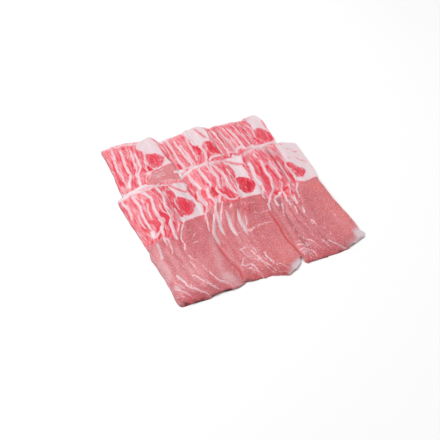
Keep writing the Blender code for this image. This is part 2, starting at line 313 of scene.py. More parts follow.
def swept(field, radii, up):
    """The field's upper envelope (up) or lower envelope of bowls with these radii across and along."""
    fill, pick, sign = (-1.0, np.maximum, -1.0) if up else (1.0, np.minimum, 1.0)
    for axis, radius in enumerate(radii):
        spread = math.ceil(math.sqrt(2.0 * radius * DEEPEST) / FIELD)
        best = field
        for steps in range(1, min(spread, field.shape[axis] - 1) + 1):
            drop = sign * (steps * FIELD) ** 2 / (2.0 * radius)
            best = pick(best, shifted(field, steps, axis, fill) + drop)
            best = pick(best, shifted(field, -steps, axis, fill) + drop)
        field = best
    return field


def blurred(field, rounds):
    for _ in range(rounds):
        for axis, count in enumerate(field.shape):
            cells = np.arange(count)
            ahead = np.take(field, np.minimum(cells + 1, count - 1), axis)
            behind = np.take(field, np.maximum(cells - 1, 0), axis)
            field = 0.25 * ahead + 0.5 * field + 0.25 * behind
    return field


class HeightMap:
    """Heights on a grid over a rectangle."""

    def __init__(self, low, size, heights=None):
        self.low = np.array(low, float)
        self.heights = np.zeros(size) if heights is None else heights

    def axes(self):
        x = self.low[0] + FIELD * np.arange(self.heights.shape[0])
        y = self.low[1] + FIELD * np.arange(self.heights.shape[1])
        return np.meshgrid(x, y, indexing="ij")

    def at(self, x, y):
        i = np.clip((x - self.low[0]) / FIELD, 0.0, self.heights.shape[0] - 1.001)
        j = np.clip((y - self.low[1]) / FIELD, 0.0, self.heights.shape[1] - 1.001)
        i0, j0 = i.astype(int), j.astype(int)
        u, v = i - i0, j - j0
        h = self.heights
        return ((h[i0, j0] * (1 - u) + h[i0 + 1, j0] * u) * (1 - v)
                + (h[i0, j0 + 1] * (1 - u) + h[i0 + 1, j0 + 1] * u) * v)


def widest(piece):
    share = np.linspace(0.0, 1.0, 200)
    left, right = piece.sides(share)
    return left.min(), right.max()


def drape(piece, pile, sizes):
    """Height map of the slice's underside, in its own axes."""
    low_x, high_x = widest(piece)
    size = [int((side + 2 * MARGIN) / FIELD) + 2 for side in (high_x - low_x, piece.length)]
    under = HeightMap((low_x - MARGIN, -piece.length - MARGIN), size)
    x, y = under.axes()
    resting_on = pile.at(*piece.to_pile(x, y))
    below = resting_on
    for step in (-1, 1):
        for axis in (0, 1):
            below = np.maximum(below, shifted(below, step, axis, 0.0))
    below = np.where(below > 0.0, below + sizes.cling, 0.0)
    share = np.clip(-y / piece.length, 0.0, 1.0)
    left, right = piece.sides(share)
    far = piece.far(x - left)
    inside = (x > left - 2 * MM) & (x < right + 1 * MM) & (y < far + 1 * MM) & (y > -piece.length - 2 * MM)
    resting = np.where(inside, below, -1.0)
    limp = swept(swept(swept(resting, sizes.bend, True), sizes.bridge, True), sizes.bridge, False)
    limp = np.maximum(blurred(np.maximum(limp, 0.0), 2), np.where(inside, below, 0.0))
    lean = 1.0 - streaky(-y, 0.8, 1.2)
    cling = np.maximum(lean, piece.number == 1) * (1.0 - smooth_step(0.5 * MM, 5.0 * MM, x - left))
    if piece.number > 1:
        cling = np.maximum(cling, 0.9 * smooth_step(piece.length - 4.0 * MM, piece.length - 1.0 * MM, -y))
    under.heights = limp * (1.0 - cling) + (resting_on + TOUCHING) * cling
    return under


def add_to_pile(piece, pile, under):
    """Raises the pile to the slice's upper side."""
    x, y = piece.from_pile(*pile.axes())
    share = np.clip(-y / piece.length, 0.0, 1.0)
    left, right = piece.sides(share)
    inside = (x > left) & (x < right) & (y < piece.far(x - left)) & (y > -piece.length)
    top = under.at(x, y) + 2.0 * piece.leaf(x - left, -y)
    pile.heights = np.where(inside, np.maximum(pile.heights, top), pile.heights)


# ---------------------------------------------------------------- the meshes

def rows_of(piece):
    """Distances from the far end at which a slice has its rows of points."""
    belly, lean = (TOP_ROW_BELLY, TOP_ROW_LEAN) if piece.number == 6 else (ROW_BELLY, ROW_LEAN)
    ends = EDGE_ROUND * np.array(END_ROUND)
    inner = piece.length - 2.0 * EDGE_ROUND
    belly_rows = np.linspace(0.0, BELLY, int(BELLY / belly) + 1)[1:]
    lean_rows = np.linspace(BELLY, inner, int((inner - BELLY) / lean) + 1)[1:-1]
    return np.concatenate([ends, EDGE_ROUND + belly_rows, EDGE_ROUND + lean_rows, piece.length - ends[::-1]])


def columns_of(piece, flat):
    """Distances from the left side of the points on the upper side, for rows of this width."""
    if piece.number == 6:
        low_x, high_x = widest(piece)
        return flat * np.linspace(0.0, 1.0, int((high_x - low_x) / COLUMN_FINE) + 1)
    shown = np.minimum(SHOWS, 0.8 * flat)
    fine = shown * np.linspace(0.0, 1.0, int(SHOWS / COLUMN_FINE) + 1)
    rest = shown + (flat - shown) * np.linspace(0.0, 1.0, COVERED_COLUMNS + 1)[1:]
    return np.concatenate([fine, rest], axis=1)


def ring_points(piece, under):
    """Points of the slice's closed cross-sections, rows by points, with their distances from its left side
    and from its far end."""
    along = rows_of(piece)[:, None]
    share = along / piece.length
    left, right = piece.sides(share)
    fold = piece.thickness * 1.05
    flat = right - fold - left
    near = smooth_step(0.9, 1.0, share)
    far = 1.0 - smooth_step(0.0, 20 * MM, along)
    to_end = np.minimum(along, piece.length - along)
    round_off = np.sqrt(np.clip(1.0 - (1.0 - np.clip(to_end / EDGE_ROUND, 0.0, 1.0)) ** 2, 0.0, 1.0))
    parts = []

    def add(across, rise, lift=0.0):
        """Points at these distances from the left side. rise is the share of the two leaves below them."""
        x = left + across
        y = -along - near * piece.jag(across) + far * piece.far(across)
        leaf = piece.leaf(np.maximum(across, 0.0), along)
        middle = under.at(x, y + 0.0 * x) + leaf
        z = middle + ((rise - 0.5) * 2.0 * leaf + lift) * round_off
        parts.append(np.stack([x + 0.0 * y, y + 0.0 * x, z, across + 0.0 * x, along + 0.0 * x], axis=-1))

    lip = piece.lip(along)
    lean = 1.0 - streaky(along, 0.9, 1.3)
    edge = np.minimum(EDGE_ROUND * (1.0 - 0.6 * lean), flat * 0.2)
    under_share = np.linspace(0.0, 1.0, UNDER_COLUMNS)[None, :]
    add(-lip + edge + (flat + lip - edge) * under_share, 0.0)
    angles = np.linspace(-90.0, 90.0, FOLD_POINTS + 2)[None, 1:-1]
    base = under.at(left + flat, -along) + piece.leaf(flat, along)
    x = left + flat + fold * np.cos(np.radians(angles))
    z = base + piece.leaf(flat, along) * 1.08 * np.sin(np.radians(angles)) * round_off
    y = -along - near * piece.jag(flat) + far * piece.far(flat) + 0.0 * x
    parts.append(np.stack([x, y, z, x - left, along + 0.0 * x], axis=-1))
    across = columns_of(piece, flat)[:, ::-1]
    rounding = np.sqrt(np.clip(1.0 - (1.0 - np.clip(across / edge, 0.0, 1.0)) ** 2, 0.0, 1.0))
    add(across, 0.75 + 0.25 * rounding)
    add(edge, 0.5, MOUTH * (1.0 - 0.9 * lean))
    add(np.minimum(GROOVE * (1.0 - 0.8 * lean), flat * 0.4), 0.5)
    add(-lip + edge, 0.5)
    add(-lip, 0.25)
    points = np.concatenate(parts, axis=1)
    x, y = piece.to_frame(points[..., 0], points[..., 1])
    points[..., 0], points[..., 1] = x * MM, y * MM
    points[..., 2] += relief(x, y) * smooth_step(0.4 * MM, 5.0 * MM, points[..., 2])
    points[..., 2] *= 0.4 + 0.6 * smooth_step(-1.0, 13.0, inward(x, y))
    return points


def mesh_of(piece, points):
    """Closed mesh through the rings, with a face at each end."""
    rows, count = points.shape[:2]
    j, i = np.meshgrid(np.arange(rows - 1), np.arange(count), indexing="ij")
    a = j * count + i
    b = j * count + (i + 1) % count
    quads = np.stack([a, b, b + count, a + count], axis=-1).reshape(-1, 4)
    ends = [list(range(count))[::-1], list(range((rows - 1) * count, rows * count))]
    mesh = bpy.data.meshes.new(piece.name)
    corners = np.concatenate([quads.ravel(), ends[0], ends[1]]).astype(np.int32)
    starts = np.concatenate([np.arange(0, len(quads) * 4, 4), [len(quads) * 4, len(quads) * 4 + count]])
    mesh.vertices.add(rows * count)
    mesh.vertices.foreach_set("co", points[..., :3].reshape(-1).astype(np.float32))
    mesh.loops.add(len(corners))
    mesh.loops.foreach_set("vertex_index", corners)
    mesh.polygons.add(len(quads) + 2)
    mesh.polygons.foreach_set("loop_start", starts.astype(np.int32))
    mesh.update(calc_edges=True)
    mesh.validate()
    mesh.shade_smooth()
    mesh.set_sharp_from_angle(angle=math.radians(70.0))
    return mesh


def store(mesh, name, values):
    """Keeps one number per point, for the material."""
    layer = mesh.attributes.new(name, "FLOAT", "POINT")
    layer.data.foreach_set("value", np.ascontiguousarray(values, dtype=np.float32).reshape(-1))


# ---------------------------------------------------------------- fat and meat on the slices, with painted shade and highlight

# Lines and outlines are in millimetres on the table, from the frame's origin: x, y, x, y and so on.

FAT_LINES = (  # half-width at the start and at the end, then points
    (1.45, 1.16, -112, 42.1, -112.5, 35.6, -111.1, 30.3, -109.5, 22.5, -109.4, 15.7, -109.8, 11.3, -111.5, 7),
    (1.59, 1.59, -102.2, 35, -100.1, 29.5, -98.6, 23.6, -97.5, 17.7, -97.7, 12.7, -98.2, 8, -98.9, 1.5,
     -98.7, -4.5, -97.9, -10.5, -97.1, -16.5, -96.2, -22.3),
    (0.79, 0.79, -102, 7.6, -103.1, 2.5, -103.5, -3.1, -102.9, -7.8, -100.7, -15.4),
    (3.19, 2.17, -95.9, -23.4, -96.7, -28.4, -97.2, -33.1),
    (1.3, 0.92, -97.3, -33.6, -94, -32.6, -90.8, -29.6, -87.1, -26.7),
    (1.89, 1.59, -88.6, 33.3, -86.7, 27, -84.7, 21.6, -83, 17.8, -83, 12.7, -83.5, 6.8, -84.3, 2.6, -84, -1.2,
     -83.4, -8, -83.2, -13.6, -82.5, -17.8, -83, -21.4),
    (2.46, 1.3, -83, -21.4, -85.4, -24.9, -86, -29.5, -86, -34.5),
    (0.92, 0.66, -88.8, 13.9, -90.4, 6.3, -91.1, 0.1, -90.9, -5.5, -89.9, -9.9),
    (0.66, 0.66, -76.6, 5.6, -76.9, 0.6, -76.1, -4.5, -74, -8.8),
    (1.74, 1.59, -72.3, 31.5, -70.7, 24.7, -69.1, 20, -68.7, 14.5, -70.5, 7.4, -71.6, 2.6, -71.5, -3.1,
     -71.1, -8.8, -70.6, -13.6, -71.1, -17.9),
    (2.17, 2.17, -71.1, -17.9, -73.6, -21.8, -74.3, -26.2, -74.5, -31.4, -75.5, -36.8),
    (2.03, 0.79, -75.5, -36.8, -75.7, -43.8, -75.5, -48.2),
    (0.66, 0.6, -64.7, -1.1, -64.7, -6.5, -63.4, -10.6, -62.2, -15.4),
    (0.92, 0.66, -57.1, 8.7, -59.3, 1.4, -58.9, -4.5, -58.4, -9.9),
    (0.92, 0.66, -60.8, -29, -63.8, -32.8, -66.5, -37.1, -68.3, -41.7, -70.8, -47.4, -71.3, -53.6,
     -71.1, -58.9, -73, -63.8, -73.9, -68.2),
    (0.66, 0.46, -65.8, -27.4, -68.5, -31.9, -70.9, -36.9),
    (1.16, 0.66, -86.6, -36.1, -87.8, -41.7, -87.3, -46.4, -87.3, -50.7),
    (0.92, 0.6, -85.7, -38, -84.3, -42.1, -84.3, -48.4, -85, -54.1, -85.9, -60.5, -87.7, -64.4),
    (1.74, 1.45, -117.3, 45.9, -113.3, 49.7, -107.9, 49.7, -103.2, 46.6, -98.8, 45.2, -95.1, 37.4, -88.9,
     34.6, -83.3, 32.3, -78.8, 32.2, -72.4, 33.6, -64.1, 30.6, -56.3, 31.5),
    (1.3, 0.92, -99.4, 45.9, -98.7, 33.5, -96.8, 30),
    (1.16, 0.66, -92.4, 24.6, -92.3, 20.4, -92.2, 16.2),
    (0.79, 0.6, -81.3, -13.6, -79, -16.2, -79.5, -19.6),
    (0.46, 0.46, -58.5, -49, -53.4, -45.3),
    (0.46, 0.46, -60.9, -59.3, -55.2, -57.3),
    (0.46, 0.3, -59.2, -39.8, -56, -40.8),
    (1.45, 1.45, -34.1, 56, -29.1, 60.3, -24.9, 59.9, -20.4, 57.8, -15.5, 51.9, -12.8, 44.7, -7.9, 44.1,
     -3.7, 44, -0.2, 41.9, 7.4, 41.7, 12.6, 39.7),
    (1.16, 2.03, -27.1, 52.9, -27.7, 42.8, -28.2, 34.6, -27.4, 27.9, -25.8, 21.3, -24.7, 15.6, -23.1, 12.1),
    (1.89, 2.03, -27.1, 15.7, -28.7, 10, -28.9, 5.6, -28.3, -0.2, -27, -6.3, -25.8, -11.4),
    (1.45, 0.92, -26.4, -12, -29.6, -18.2, -33.1, -23.2, -34.1, -29.6, -35.6, -35.5, -36.9, -41.6,
     -38.2, -48.6),
    (1.59, 1.74, -14.6, 43.5, -15.2, 38.8, -14.8, 33.6, -14.4, 28, -13.6, 22.9, -12.9, 17.2, -12.4, 12.3,
     -13.3, 7.1),
    (1.89, 1.45, -16.2, 9.5, -18.3, 5.5, -19.4, 0.7, -18.5, -4, -16.8, -8, -15.8, -13.4, -16.5, -16.1),
    (1.16, 1.45, -16.5, -16.1, -20.3, -21, -21.6, -27.1, -22.8, -33.7, -24, -40.4),
    (1.3, 1.3, -4.5, 43.1, -4.4, 36.9, -4.4, 31.9, -3.7, 25.1, -2.3, 20.3, -1.8, 14.4),
    (1.74, 1.45, -1.5, 14.2, -2.8, 9.6, -3.6, 5, -4.5, -1.1),
    (1.16, 1.16, -1.5, 39.8, -2.4, 33.6, -2.3, 25.5, -1.5, 19.2, 0.7, 15.5),
    (1.45, 1.59, 1, 39.7, 3.3, 33.9, 4.7, 27.2, 6.2, 18.5, 6.9, 12.1, 6.4, 7.1, 5.7, 1.8, 6.6, -6, 8.1, -12.1,
     9.9, -18.3),
    (0.92, 1.3, 13.2, 24.8, 13.4, 19.4, 13, 13.5, 12.3, 8.2, 11.8, 2.2, 12.6, -3.6, 11.9, -9, 12.7, -16.8,
     15.4, -20.7),
    (1.3, 1.16, -8, 3.8, -8.8, -1.1, -7.6, -5.9, -4.7, -10.9, -2.5, -17.4, 1.1, -20.4, 6.7, -20.7,
     11.3, -19.7),
    (1.74, 1.16, -9.3, -8.1, -10.9, -13.4, -13.3, -17),
    (1.16, 0.79, -9.5, -18.1, -12.5, -22.3, -15.1, -27.4, -17.8, -32.7, -19.6, -37.8, -22.4, -41.4),
    (1.3, 0.92, -23.9, -25.7, -26.6, -32.8, -31.3, -40.9, -34, -48.3, -36.5, -53.7),
    (0.79, 0.6, -6.1, -29.4, -3.9, -28.1, -0.5, -25.9),
    (1.59, 1.3, -18.3, -17.2, -20.7, -24.8),
    (0.66, 0.6, -26, 35.8, -26.3, 27.5, -26.4, 21.9),
    (0.79, 0.66, 14.7, 34.3, 16.6, 30.9, 21.2, 29.7, 23.1, 26.3),
    (0.79, 0.6, -2.8, 16.1, -4.6, 8.9, -7.8, 3.7),
    (0.66, 0.6, 3.1, 15.1, 1.4, 7.3, -1, -0.3),
    (0.46, 0.3, -3.8, -64.3, 0.5, -68.9, 8.1, -66.3, 14.7, -66),
    (0.46, 0.3, 10.2, -29.6, 14, -33.9, 17.5, -33.5, 23.5, -33),
    (1.74, 1.45, 61.8, 56.8, 64.7, 48.6, 72.3, 53.3, 79, 54.1),
    (2.32, 2.03, 42.4, 26.9, 43.5, 21, 42.5, 14.8, 40.9, 7.3, 39.5, 0.4, 39.9, -4.7, 41.1, -10, 42.5, -12.9),
    (1.59, 1.16, 42.1, -13.6, 41.6, -17.7, 38.4, -22.6, 37.1, -28.2, 38.2, -31.5),
    (1.45, 1.59, 55.5, 24.8, 57.6, 23.2, 57.2, 18.4, 56.1, 11.1, 55.5, 4.9, 56.3, -1.3, 56.6, -6.3, 55.4,
     -11.8, 54.1, -16.6, 52.5, -20.8),
    (1.3, 1.3, 52.1, -21.6, 46, -28.5, 42.5, -33.9, 38.8, -37.9, 37.6, -40.7, 36.5, -48.2),
    (1.16, 0.92, 54.2, 40.3, 55.5, 35, 55.7, 27.2),
    (1.45, 1.3, 67, 21.1, 66.5, 14.4, 66.8, 9, 67.2, 4.1, 67.4, -1.3, 67.5, -6.7, 67, -12.6),
    (0.92, 0.92, 66.4, -14.7, 65.6, -18.2, 61.7, -23.4, 61.1, -27.4),
    (1.3, 0.79, 61.5, -28.6, 61, -35, 60.1, -40.5, 60.8, -46.2, 60, -51.5),
    (1.45, 0.92, 74.7, 15.6, 75.8, 10.1, 75.3, 3.5, 75.1, -2.6, 75.7, -9, 75.6, -15.7, 74, -20.8, 71.5, -25,
     71.3, -30.7),
    (0.79, 0.66, 69.6, -30.4, 67.2, -35.2, 66.1, -42.8, 65.6, -49.1),
    (0.92, 0.92, 81.2, 7.7, 82.3, 0.5, 82.9, -7.8, 84.4, -14.1, 83.7, -19.3),
    (1.16, 0.66, 82.6, -23, 80.8, -26.9, 77.2, -32, 75.1, -37.5, 73.6, -43.9, 72.3, -48.5),
    (1.59, 1.3, 59.2, -27.7, 55.2, -30.3, 50.8, -31.8, 46.8, -36.3),
    (1.74, 1.89, 46.8, -36.3, 47.3, -40.7, 47, -46),
    (0.92, 0.6, 54.1, -40.8, 51.3, -48.4, 48.6, -55.7, 46, -62.6),
    (0.79, 1.3, 69.8, -39, 67.5, -47, 67.1, -53.2),
    (0.79, 0.6, 63.7, -54.7, 62.6, -60.3, 60.5, -66.3),
    (0.6, 1.16, 70.1, -59.5, 69.5, -64.1, 68.2, -68.7),
    (0.66, 0.66, 68, -83.9, 69.1, -88.5),
    (0.66, 0.6, 69.9, 17.4, 69.7, 11.2, 69.7, 3.4),
    (0.66, 0.6, 56.6, 51.7, 58.3, 43.1, 60.4, 35.2),
    (0.79, 0.66, 67.4, 48.1, 68.2, 39.6, 69.9, 35.1),
    (0.79, 0.6, 78.7, 53.5, 77.1, 40.3, 77.4, 32.8),
    (0.66, 0.46, 61, -35, 58.9, -41, 59.3, -45.7),
    (0.46, 0.3, -1.9, -66.5, 1, -71.5, 5.3, -69.6, 11, -68.4, 19.4, -65.3, 25.5, -64.4, 33, -64.3),
    (0.6, 0.46, -19.8, -87.5, -15.3, -87.7, -11.6, -87.9),
    (0.66, 0.46, -17.6, -88.6, -16.4, -94.8, -15.2, -100, -10.7, -102.5),
    (0.66, 0.3, -9.4, -94.2, -7.9, -101.8, -6.2, -108.9, -4.1, -115, -0.2, -120.5),
    (0.79, 0.46, 2.9, -103.6, 2, -109.3, 4.6, -115.8, 5.6, -121.4),
    (0.66, 0.79, -24.1, -106.6, -23.3, -110.3, -17.9, -109.1),
    (0.79, 0.3, -17.9, -109.1, -14.2, -111.9, -12.8, -119.4, -9.1, -127.2),
    (0.6, 0.46, -20.1, -98.4, -23.9, -105.6),
    (0.66, 0.46, 6.2, -122.6, 10.1, -123, 14.7, -126.4),
    (0.6, 0.3, -5.2, -104.9, -3.8, -114.2, -1.5, -123.2, 3, -129.4),
    (0.46, 0.3, 6.5, -123.6, 7.2, -129, 9.3, -133.3),
    (0.46, 0.46, -5.2, -95.9, -4.8, -105.7, -4.2, -108),
    (0.46, 0.3, -5.8, -89.9, -5.1, -99.3),
    (0.6, 0.3, -97.7, -100, -94.2, -105.3, -90.6, -112.7),
    (0.46, 0.3, -58.8, -48.6, -55.2, -47.9),
    (0.46, 0.3, -47.9, -41.9, -44.2, -41.3),
    (0.46, 0.3, -65.2, -93.3, -62.8, -101.2),
    (0.46, 0.3, -74.2, -82.7, -71.6, -95.4),
    (0.92, 0.46, 69.3, -81.2, 70.6, -85.5, 70.8, -90.9),
    (1.16, 0.46, 68.1, -66.8, 68.1, -70.9),
    (0.46, 0.46, 79.4, -107, 77.9, -111.5),
    (0.46, 0.3, 74.2, -94, 76.9, -100.5),
    (0.46, 0.3, 97.9, -81.7, 97.2, -88.5),
    (1.59, 1.45, -106.1, 140.5, -102.6, 141.5, -95.5, 136.7, -88.9, 130.8, -83, 131.2, -76.5, 127.5,
     -70.3, 123.3, -62.6, 124.2, -54.3, 130.1, -49.7, 131.5),
    (1.45, 1.3, -98.2, 132, -98.3, 121.9, -99.5, 111.2, -100.5, 103.4, -101.2, 95.5, -100.9, 87.4, -99.8,
     78.1, -100.6, 70.2),
    (0.92, 0.79, -101.1, 121.5, -100.8, 111.7, -101.5, 102.6, -102.1, 92.9),
    (1.59, 1.74, -88.5, 123.9, -88.9, 114.2, -89.4, 105.3, -90.4, 99.1, -91, 92, -90.7, 82.1, -89.9, 75.8),
    (1.74, 2.46, -89.9, 75.8, -91.4, 70.7, -94.1, 64.8, -96.7, 59, -97.6, 53.7),
    (1.3, 1.16, -77.1, 116.7, -78.2, 108.1, -78.6, 100.6, -80, 92.4, -80, 83.8, -81.4, 76.9, -84.1, 72.8,
     -85.7, 63.3),
    (1.59, 1.74, -74.3, 108.3, -74.7, 100.2, -75.1, 88.6, -75.6, 79.1, -78.8, 73.4, -82.6, 67.5, -84.1, 57.9,
     -85.2, 50.1, -86, 44.9),
    (1.3, 0.92, -62.3, 110.3, -63.4, 101.5, -65.4, 92.8, -68.5, 83.3, -69, 78.6),
    (0.66, 0.66, -80.9, 124.1, -81.2, 113.2, -84.1, 104.1),
    (0.79, 0.79, -69.8, 78.7, -70.2, 69.2, -71.6, 62.6, -76.1, 56.1, -78.1, 47.9),
    (0.79, 0.66, -70.2, 64.5, -68.9, 59.3, -73.1, 53.6),
    (0.66, 0.6, -100, 74.8, -99.7, 65.1, -100.9, 56.4),
    (0.46, 0.3, -65.7, 52.7, -58.9, 54.6, -52.1, 56.4),
    (0.46, 0.3, -66, 60.9, -56.9, 65, -50, 67.1),
    (1.45, 1.45, -36.7, 123, -29.2, 123.5, -21, 122.2, -13.8, 121.4, -6.2, 121.5, 1, 123.8, 7.7, 125.3,
     17.6, 125.4),
    (1.45, 1.74, -30.2, 120.9, -29, 110.3, -28.6, 98, -28.4, 87.2, -28.2, 75.7, -26.7, 67.8, -26.5, 59),
    (1.59, 1.45, -21.5, 112.1, -21, 100.2, -19.3, 89.7, -18.8, 80.5, -16.7, 71.9, -16.4, 62.8, -18.7, 53.6),
    (1.16, 1.16, -17, 102.2, -16, 92, -14.9, 82.2, -13.9, 72.3, -12.9, 64.8, -15.2, 53.3),
    (1.16, 0.92, -6.6, 108.8, -7.8, 91.7, -7.8, 82.2, -7.8, 73, -9, 60.6),
    (0.66, 0.66, -21.5, 100.5, -21.2, 91.9, -20.7, 83.4),
    (0.66, 0.66, -19.6, 86.3, -19, 75.3, -18.5, 67.6),
    (1.59, 1.45, 3.6, 83.2, 4.4, 73.2, 3.3, 63.8, -0.5, 54.4, -6.5, 43.7),
    (1.89, 1.89, 3.3, 52.7, 8.1, 58.7, 16.2, 61.1, 23.5, 59.9),
    (0.79, 0.66, -35.7, 118.7, -34.4, 108.8, -33.8, 97, -34.3, 85.7),
    (1.16, 0.79, 22.1, 116.4, 21.8, 107.8, 19.8, 93.7),
    (2.32, 3.19, -40.4, 57.8, -34.3, 60, -27, 57.7),
    (1.3, 1.3, 27.5, 120.5, 35.6, 120.2, 45.3, 119.2, 53.7, 114.8, 65.7, 113, 77.2, 110, 89.1, 119.2,
     95.2, 121, 98.3, 116.4),
    (1.3, 1.16, 25.8, 111.6, 24, 97.9, 23.6, 88, 23.9, 76.8, 24.5, 66.5, 24.5, 57.3),
    (1.45, 1.3, 31.4, 109.8, 31.2, 97.2, 31.9, 87.1, 32.2, 75.6, 31.8, 66.1, 31.1, 55.9),
    (1.45, 1.3, 37.7, 106.9, 39.4, 97.6, 40, 85.2, 41.6, 74.7, 41.7, 63.5, 41.6, 56.8),
    (0.92, 0.79, 43.3, 111.2, 45, 100.3, 46.2, 88.1, 47.1, 76, 48.7, 65.6),
    (1.3, 1.16, 48.9, 106.7, 50.4, 94.7, 52, 84.2, 52.3, 73.5, 52.7, 63.3, 53.7, 57.4),
    (1.16, 0.92, 56.7, 106.8, 58.6, 96.2, 59.6, 86.3, 60.8, 75.8, 61.7, 64.2, 62.6, 55.5),
    (0.92, 0.79, 64.4, 107.1, 67.2, 98.5, 68, 89.1, 68.2, 80.2, 67.1, 67.8),
    (1.16, 0.79, 72.3, 99.1, 75.5, 91.6, 74.9, 82, 72.8, 72.2),
    (1.45, 2.32, 41.6, 56.8, 43.3, 62, 49.9, 66, 52.9, 58.8),
    (1.3, 0.92, 30.1, 59.8, 35.9, 60.5, 43.1, 60.2),
    (2.17, 2.17, 54.2, 59.1, 64.7, 55.1, 77.4, 55.7, 90.1, 58.6, 94.6, 50.4),
    (1.5, 0.6, -92.9, -91.7, -90.7, -99.3, -88.6, -104, -87.8, -109.1, -85.7, -113.6, -82.4, -117.7),
    (0.9, 0.5, -83.2, -117.1, -77.5, -122, -72.6, -126.2, -68.2, -131.3),
    (1, 0.6, -79.5, -100.5, -76.3, -102.3, -73.3, -107.4, -70.9, -112.6, -67.9, -117.5, -64.2, -121.8,
     -59.1, -125.5),
    (1.2, 0.5, -60.7, -103.8, -59.5, -107.8, -57.9, -111.9, -55.5, -116.6, -51.1, -119.5, -45.5, -124.6),
    (0.9, 0.5, -101.1, -107.7, -97.3, -110.8, -93.6, -115.4, -90.1, -120.4, -86.6, -125.5),
    (0.3, 0.3, -72.8, -73.3, -71, -80.3, -66.2, -88.4, -63.3, -95.2, -62, -102.8),
    (1.1, 0.7, 40.7, -105.4, 44.8, -107.8, 51.2, -110.6),
    (0.5, 0.4, 52.5, -102.4, 55.4, -103.8, 57.8, -108.4, 60.3, -115, 61, -120.5),
    (0.5, 0.4, 67, -111.5, 68.9, -116.8, 70.5, -122.9, 72.1, -126.6),
    (0.6, 0.4, 74.1, -114.9, 76.5, -120.5, 81.2, -125.1, 84.3, -128.4, 88.6, -130.5),
    (0.5, 0.4, 39.8, -112.9, 44.8, -112.5, 49.6, -114.9, 52.9, -120, 52.8, -127.1),
    (0.4, 0.3, 40.1, -116.9, 45.2, -116.4, 48.6, -119, 50.1, -125.4),
    (0.3, 0.3, 39.2, -120.9, 43.1, -120.2, 46.5, -123, 46.3, -127.9),
    (0.4, 0.3, 50, -79, 46.6, -86.9),
    (0.5, 0.4, 49.5, -91.8, 48, -95.8),
    (0.5, 0.4, 52, -97.6, 50.4, -100.7),
    (0.4, 0.3, -1.4, -66.9, 2, -70.1, 9.8, -66.2, 17.9, -64.3, 25.5, -63.9, 32.6, -64.4),
    (0.3, 0.3, 14.5, -48, 22.9, -48.4, 29.5, -47.7, 36, -47.2),
    (0.6, 0.4, -24.8, -27.2, -30.5, -39.7, -35.5, -50.3, -36.8, -57.7, -36.1, -64.6, -35.4, -71.3),
    (0.6, 0.5, -8.5, -94.8, -7, -103.3, -5, -111.4, -0.5, -118.1, 2.6, -123.6, 5, -128.6),
    (0.5, 0.4, -15.8, -100.2, -12.7, -100.9, -9.6, -106.7, -5.5, -112.3),
    (0.5, 0.5, -26.3, -108.6, -21.9, -109.5, -17.7, -109.6, -14.8, -113.9, -13.5, -119.4, -11.9, -126,
     -10.4, -128.8),
    (0.4, 0.3, -18.3, -100.3, -22.4, -103, -24.8, -105.2, -26.3, -108.6),
    (0.5, 0.4, -21.9, -112.6, -17.3, -115.2, -15.5, -119.5, -13, -125.4),
    (0.3, 0.3, -26.6, -114.7, -21.5, -113.8, -18.3, -117.1, -16.8, -122.3),
    (0.5, 0.4, 2.2, -105.2, 3, -112.8, 4.2, -120.3, 4.9, -123.3),
    (0.5, 0.4, 4.9, -123.3, 8.8, -122.8, 13.2, -125.6, 17.7, -131.2),
    (0.3, 0.3, -3.4, -93.3, -2, -100.9, -1.2, -109.3, 0.7, -115.5),
    (0.3, 0.3, 4.5, -129.6, 8.7, -130.8, 13.6, -132.5, 17.4, -135.6),
    (0.3, 0.3, -19.4, -85.5, -15.1, -86.7, -9.5, -86.3),
    (0.3, 0.3, -8.6, -96, -4.6, -96, -0.4, -95.4),
    (0.6, 0.4, 39.3, -105.4, 43.4, -107.1, 48, -108, 52, -111),
    (0.5, 0.3, 40, -113.7, 45.8, -113.9, 50.1, -117.4, 53.1, -122.2),
    (0.4, 0.3, 40.1, -118.2, 45.5, -118.5, 48.7, -122.9),
    (0.5, 0.3, 54.4, -103.4, 57.7, -108.6, 60.3, -115, 61.3, -119.8),
    (0.4, 0.3, 67.7, -110.6, 69.2, -114.3, 70.5, -118.4),
    (0.5, 0.4, 73.3, -114.9, 77.7, -121.5, 83.1, -126.3, 87.9, -129.9),
    (0.3, 0.3, 43.7, -100.7, 48.1, -104, 51.9, -108.1, 54.5, -112.8),
    (0.3, 0.3, -75.8, -102.9, -71.6, -109.3, -67, -116.4, -62.5, -121.8, -57.6, -127.7),
    (0.3, 0.3, -84.7, -110.2, -81, -117.8, -75, -123.1, -68.9, -129.9),
    (0.4, 0.3, -101.5, -107.3, -97.5, -110.7, -93.6, -115.9, -89.3, -121.8),
    (0.3, 0.3, -102.2, -116.8, -97.6, -118.5, -92.8, -123.4),
    (0.3, 0.3, -58.4, -113.5, -54.7, -119, -48.9, -122.7, -43.8, -128.3),
    (0.3, 0.3, -88.7, -64.8, -86.8, -72, -84.1, -79.2, -82, -87.6),
)
